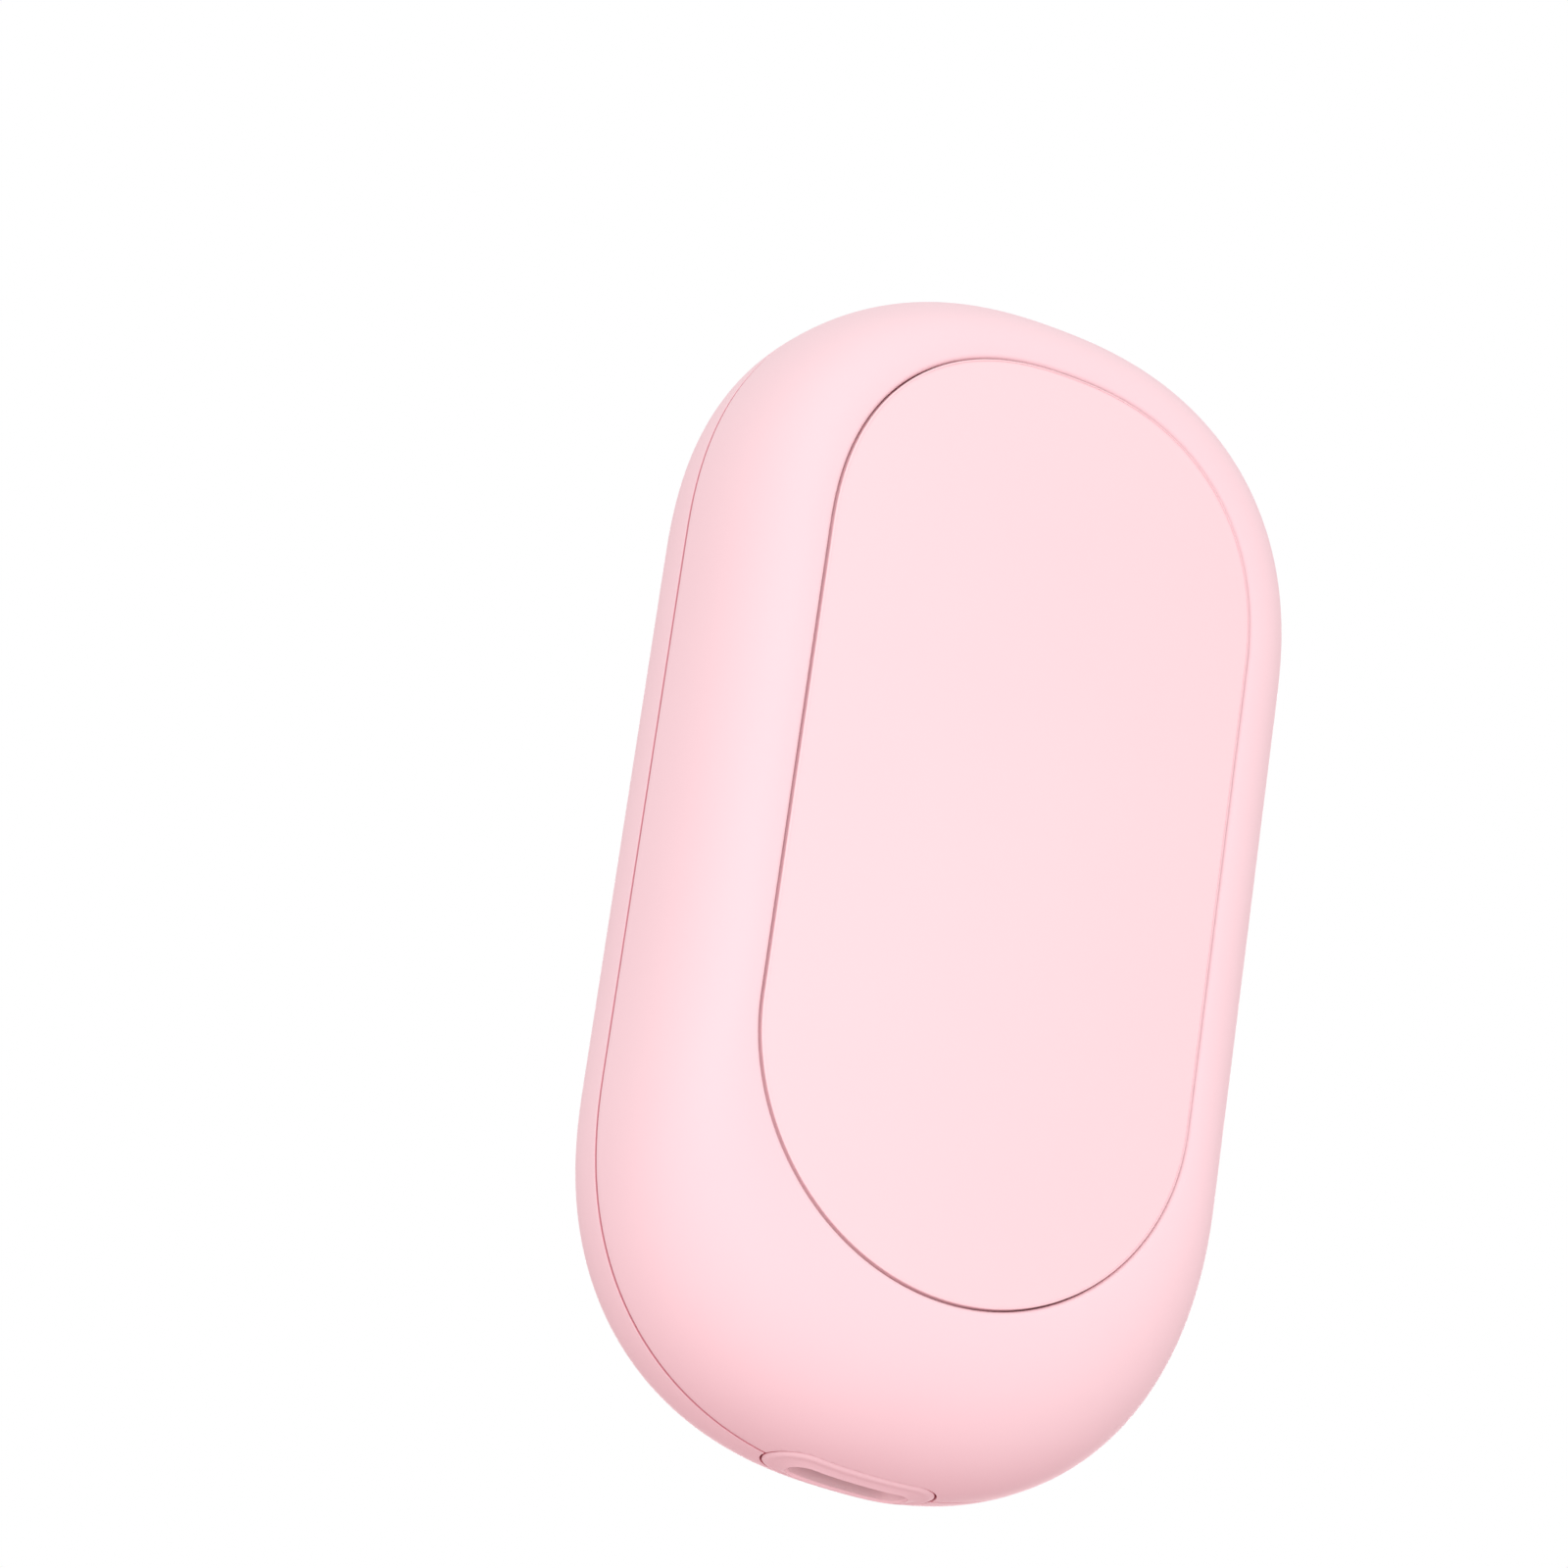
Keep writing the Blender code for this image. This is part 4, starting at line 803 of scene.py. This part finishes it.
def make_button():
    """Power button: a hollow cap with flange and stem, a faint crown and the power sign pressed in."""
    face_edge = BUTTON_RADIUS - BUTTON_EDGE
    radii = [SIGN_RING_STEP * step for step in range(1, int(SIGN_REACH / SIGN_RING_STEP) + 1)]
    for step in range(1, EDGE_STEPS + 1):
        radii.append(SIGN_REACH + (face_edge - SIGN_REACH) * step / EDGE_STEPS)
    rings = []
    for radius in radii:
        crown = BUTTON_CROWN * (1 - (radius / face_edge) ** 2)
        face = circle(radius, BUTTON_FACE - crown, steps=SIGN_TURN_STEPS)
        rings.append([(x, y, z + sign_depth(x, y)) for x, y, z in face])
    for back, up in reversed(rounding()[:-1]):
        radius = face_edge + BUTTON_EDGE * (1 - up)
        rings.append(circle(radius, BUTTON_FACE + BUTTON_EDGE * back, steps=SIGN_TURN_STEPS))
    sprayed = len(rings)
    inside = BUTTON_RADIUS - BUTTON_WALL
    flange_back = REAR_FLOOR + FIT
    flange_front = flange_back + FLANGE_THICKNESS
    flange = BUTTON_RADIUS + FLANGE_WIDTH
    inner = [(BUTTON_RADIUS, flange_back), (flange, flange_back), (flange, flange_front),
             (inside, flange_front), (inside, BUTTON_ROOF), (STEM_RADIUS, BUTTON_ROOF),
             (STEM_RADIUS, STEM_TIP)]
    rings.extend(circle(radius, z, steps=SIGN_TURN_STEPS) for radius, z in inner)
    skin = Skin()
    rings = [[(x, y + BUTTON_ALONG, z) for x, y, z in ring] for ring in rings]
    # The cap's side below its edge is unsprayed, in a deeper pink that also paints the shade in the gap round
    # it
    rows = skin.sweep(rings, bare_and_shaded=range(sprayed - 1, len(rings)))
    skin.cap(rows[0], rows[-1])
    # Faces deep in the sign's strokes take the deeper pink that paints their shade
    for face in skin.work.faces:
        middle = face.calc_center_median()
        depth = sign_depth(middle.x / MM, (middle.z - MIDDLE_Z) / MM - BUTTON_ALONG)
        if face.material_index == SPRAYED and depth > SIGN_DEPTH / 2:
            face.material_index = SIGN_SHADE
    skin.piece("power_button_cap", SHELL_LOOKS + [SIGN_SHADE_LOOK], "button", "power_button")


# Charging port

def end_skin(x, z):
    """How far along the body its outer skin lies at the port end, over a point of the end view."""
    if z >= 0:
        depth, exponent = RIM_TOP, FRONT_EXPONENT
        high = (PLATE_WIDTH + 2 * RIM_OUTSET, PLATE_LENGTH + 2 * RIM_OUTSET, PLATE_PORT_END_EXPONENT)
        high_rise = PLATE_RISE
    else:
        depth, exponent = REAR_DEPTH, BACK_EXPONENT
        high = (BODY_WIDTH - 2 * BACK_ROUND, BODY_LENGTH - 2 * BACK_ROUND, END_EXPONENT)
        high_rise = 0.0
    across = 1 - (1 - (abs(z) / depth) ** exponent) ** (1 / exponent)
    near, far = 0.0, math.pi / 2
    for _ in range(HALVINGS):
        angle = (near + far) / 2
        low_x, low_y = end_point(BODY_WIDTH, BODY_LENGTH, END_EXPONENT, angle)
        high_x, high_y = end_point(*high, angle)
        if low_x + (high_x - low_x) * across > abs(x):
            near = angle
        else:
            far = angle
    return -(low_y + (high_y - high_rise - low_y) * across)


def on_end_skin(width, height, proud, back=0.0):
    """The port's oval at some size, laid on the body's end and lifted off it."""
    return [(x, end_skin(x, z - back) - proud, z - back) for x, z in slot_outline(width, height)]


def at_end_level(width, height, y, back=0.0):
    """The port's oval at some size, at one place along the body."""
    return [(x, y, z - back) for x, z in slot_outline(width, height)]


def cut_port(shell):
    """Cuts the port's opening through a shell, with an edge that is softened as the cut leaves it."""
    width = PORT_WIDTH + 2 * PORT_TIP_GAP
    height = PORT_HEIGHT + 2 * PORT_GAP
    wider = 2 * PORT_CUT_EDGE
    rings = [at_end_level(width + wider, height + wider, PORT_END - OVERRUN)]
    for back, up in rounding()[::-1][1:]:
        rings.append(on_end_skin(width + wider * up, height + wider * up, -PORT_CUT_EDGE * back))
    rings.append(at_end_level(width, height, PORT_INNER + OVERRUN))
    skin = Skin()
    # The cut's wall is unsprayed, in a deeper pink that also paints the shade inside the opening
    rows = skin.sweep(rings, bare_and_shaded=[len(rings) - 2])
    skin.cap(rows[0], rows[-1])
    combine(shell, skin, "DIFFERENCE")


def make_port_surround():
    """Oval surround of the port: a soft raised lip, a band that rises to the mouth, and the throat."""
    rings = []
    for step in range(EDGE_STEPS + 1):
        turn = math.pi / 2 * step / EDGE_STEPS
        inset = 2 * LIP_CREST * step / EDGE_STEPS
        proud = LIP_START + (LIP_PROUD - LIP_START) * math.sin(turn)
        rings.append(on_end_skin(PORT_WIDTH - inset, PORT_HEIGHT - inset, proud))
    for step in range(1, EDGE_STEPS + 1):
        share = step / EDGE_STEPS
        inset = 2 * (LIP_CREST + (LIP_FOOT - LIP_CREST) * share)
        proud = BAND_PROUD + (LIP_PROUD - BAND_PROUD) * (1 + math.cos(math.pi * share)) / 2
        rings.append(on_end_skin(PORT_WIDTH - inset, PORT_HEIGHT - inset, proud))
    for back, up in rounding():
        wider = 2 * MOUTH_EDGE * (1 - up)
        proud = MOUTH_PROUD - MOUTH_EDGE * (1 - back)
        rings.append(on_end_skin(MOUTH_WIDTH + wider, MOUTH_HEIGHT + wider, proud, MOUTH_BACK))
    sprayed = len(rings)
    throat = PORT_END + THROAT_DEPTH
    rings.append(at_end_level(THROAT_WIDTH, MOUTH_HEIGHT, throat, MOUTH_BACK))
    rings.append(at_end_level(SOCKET_BAY_WIDTH, SOCKET_BAY_HEIGHT, throat))
    rings.append(at_end_level(SOCKET_BAY_WIDTH, SOCKET_BAY_HEIGHT, PORT_INNER))
    rings.append(at_end_level(PORT_WIDTH, PORT_HEIGHT, PORT_INNER))
    skin = Skin()
    # Inside the mouth all is unsprayed, in a deeper pink that also paints the shade of the port's recess
    skin.sweep(rings, looped=True, bare_and_shaded=range(sprayed, len(rings)))
    skin.piece("port_surround", SHELL_LOOKS, "housing", "port_bezel")


make_front_shell()
make_rear_shell()
make_plate()
make_button()
make_port_surround()
finish_inner_parts()


# Camera, at the photograph's viewing angle: it looks up at the plate from the left

CAMERA_AZIMUTH = -27.44
CAMERA_ELEVATION = -20.48
CAMERA_LEAN = 8.405
CAMERA_DISTANCE = 626.5
CAMERA_AIM = (-13.45, 4.29, 6.40)
CAMERA_LENS = 177.77
SENSOR_WIDTH = 36.0


def direction(azimuth, elevation):
    """A unit vector: azimuth 0 points along -Y and 90 along +X."""
    a, e = math.radians(azimuth), math.radians(elevation)
    return Vector((math.sin(a) * math.cos(e), -math.cos(a) * math.cos(e), math.sin(e)))


def looking_back(place, back):
    """The matrix of a camera or lamp that stands at a place and looks against a direction."""
    return Matrix.Translation(place) @ (-back).to_track_quat("-Z", "Y").to_matrix().to_4x4()


def make_camera():
    """Camera with the photograph's view, lens and slight lean."""
    data = bpy.data.cameras.new("camera")
    data.sensor_width = SENSOR_WIDTH
    data.lens = CAMERA_LENS
    camera = placed("camera", data)
    back = direction(CAMERA_AZIMUTH, CAMERA_ELEVATION)
    lean = Matrix.Rotation(math.radians(CAMERA_LEAN), 4, "Z")
    place = Vector(CAMERA_AIM) * MM + back * CAMERA_DISTANCE * MM
    camera.matrix_world = looking_back(place, back) @ lean
    bpy.context.scene.camera = camera


# Stage and light, in metres: the paper lies far below, and the world is white where it is seen

PAPER_DROP = 0.55
PAPER_RADIUS = 2.5
PAPER_SIDES = 64
PAPER_COLOUR = "#C9A8AC"
PAPER_LIFT = 0.75
WORLD_LEVEL = 0.83
WHITE = (1.0, 1.0, 1.0, 1.0)

# Soft boxes: azimuth, elevation, and the brightness that each gives to what faces it
BOX_DISTANCE = 0.75
BOX_SIZE = 0.40
SOFT_BOXES = {
    "key_box": (-30.0, 0.0, 0.27),
    "low_box": (0.0, -30.0, 0.20),
    "side_box": (-90.0, -30.0, 0.11),
    "back_box": (150.0, 10.0, 0.38),
}


def seen_directly(tree):
    """1 for a ray that shows the background itself, to the camera or in gloss or glass."""
    ray = add(tree, "LightPath").outputs
    seen = ray["Is Camera Ray"]
    for kind in ("Is Glossy Ray", "Is Transmission Ray"):
        seen = add(tree, "Math", {0: seen, 1: ray[kind]}, operation="MAXIMUM").outputs[0]
    return seen


def make_floor():
    """A plain pale floor, far enough below for the object to hover over it as photographed."""
    made = bpy.data.materials.new("studio_paper")
    made.use_nodes = True
    tree = made.node_tree
    tree.nodes.clear()
    paper = add(tree, "BsdfDiffuse", {"Color": srgb(PAPER_COLOUR)})
    lift = add(tree, "Math", {0: seen_directly(tree), 1: PAPER_LIFT}, operation="MULTIPLY")
    glow = add(tree, "Emission", {"Strength": lift.outputs[0]})
    both = add(tree, "AddShader", {0: paper.outputs[0], 1: glow.outputs[0]})
    add(tree, "OutputMaterial", {"Surface": both.outputs[0]})
    work = bmesh.new()
    bmesh.ops.create_circle(work, cap_ends=True, segments=PAPER_SIDES, radius=PAPER_RADIUS)
    mesh = bpy.data.meshes.new("studio_floor")
    work.to_mesh(mesh)
    work.free()
    mesh.materials.append(made)
    floor = placed("studio_floor", mesh)
    floor.location = (0.0, 0.0, -PAPER_DROP)


def make_world():
    """An even pale surround: white where it is seen, gentler where it only lights."""
    world = bpy.data.worlds.new("studio")
    world.use_nodes = True
    tree = world.node_tree
    tree.nodes.clear()
    levels = {"Factor": seen_directly(tree), "A": WORLD_LEVEL, "B": 1.0}
    strength = add(tree, "Mix", levels, data_type="FLOAT").outputs["Result"]
    back = add(tree, "Background", {"Color": WHITE, "Strength": strength})
    add(tree, "OutputWorld", {"Surface": back.outputs[0]})
    bpy.context.scene.world = world


def make_soft_box(name, azimuth, elevation, brightness):
    """A square soft box that looks at the object."""
    data = bpy.data.lights.new(name, "AREA")
    data.shape = "SQUARE"
    data.size = BOX_SIZE
    # So many watts give a white surface that faces the box about the brightness asked for
    data.energy = brightness * (math.pi * BOX_DISTANCE) ** 2
    back = direction(azimuth, elevation)
    placed(name, data).matrix_world = looking_back(back * BOX_DISTANCE, back)


make_camera()
make_floor()
make_world()
for box, (azimuth, elevation, brightness) in SOFT_BOXES.items():
    make_soft_box(box, azimuth, elevation, brightness)
bpy.context.scene.view_settings.view_transform = "Standard"
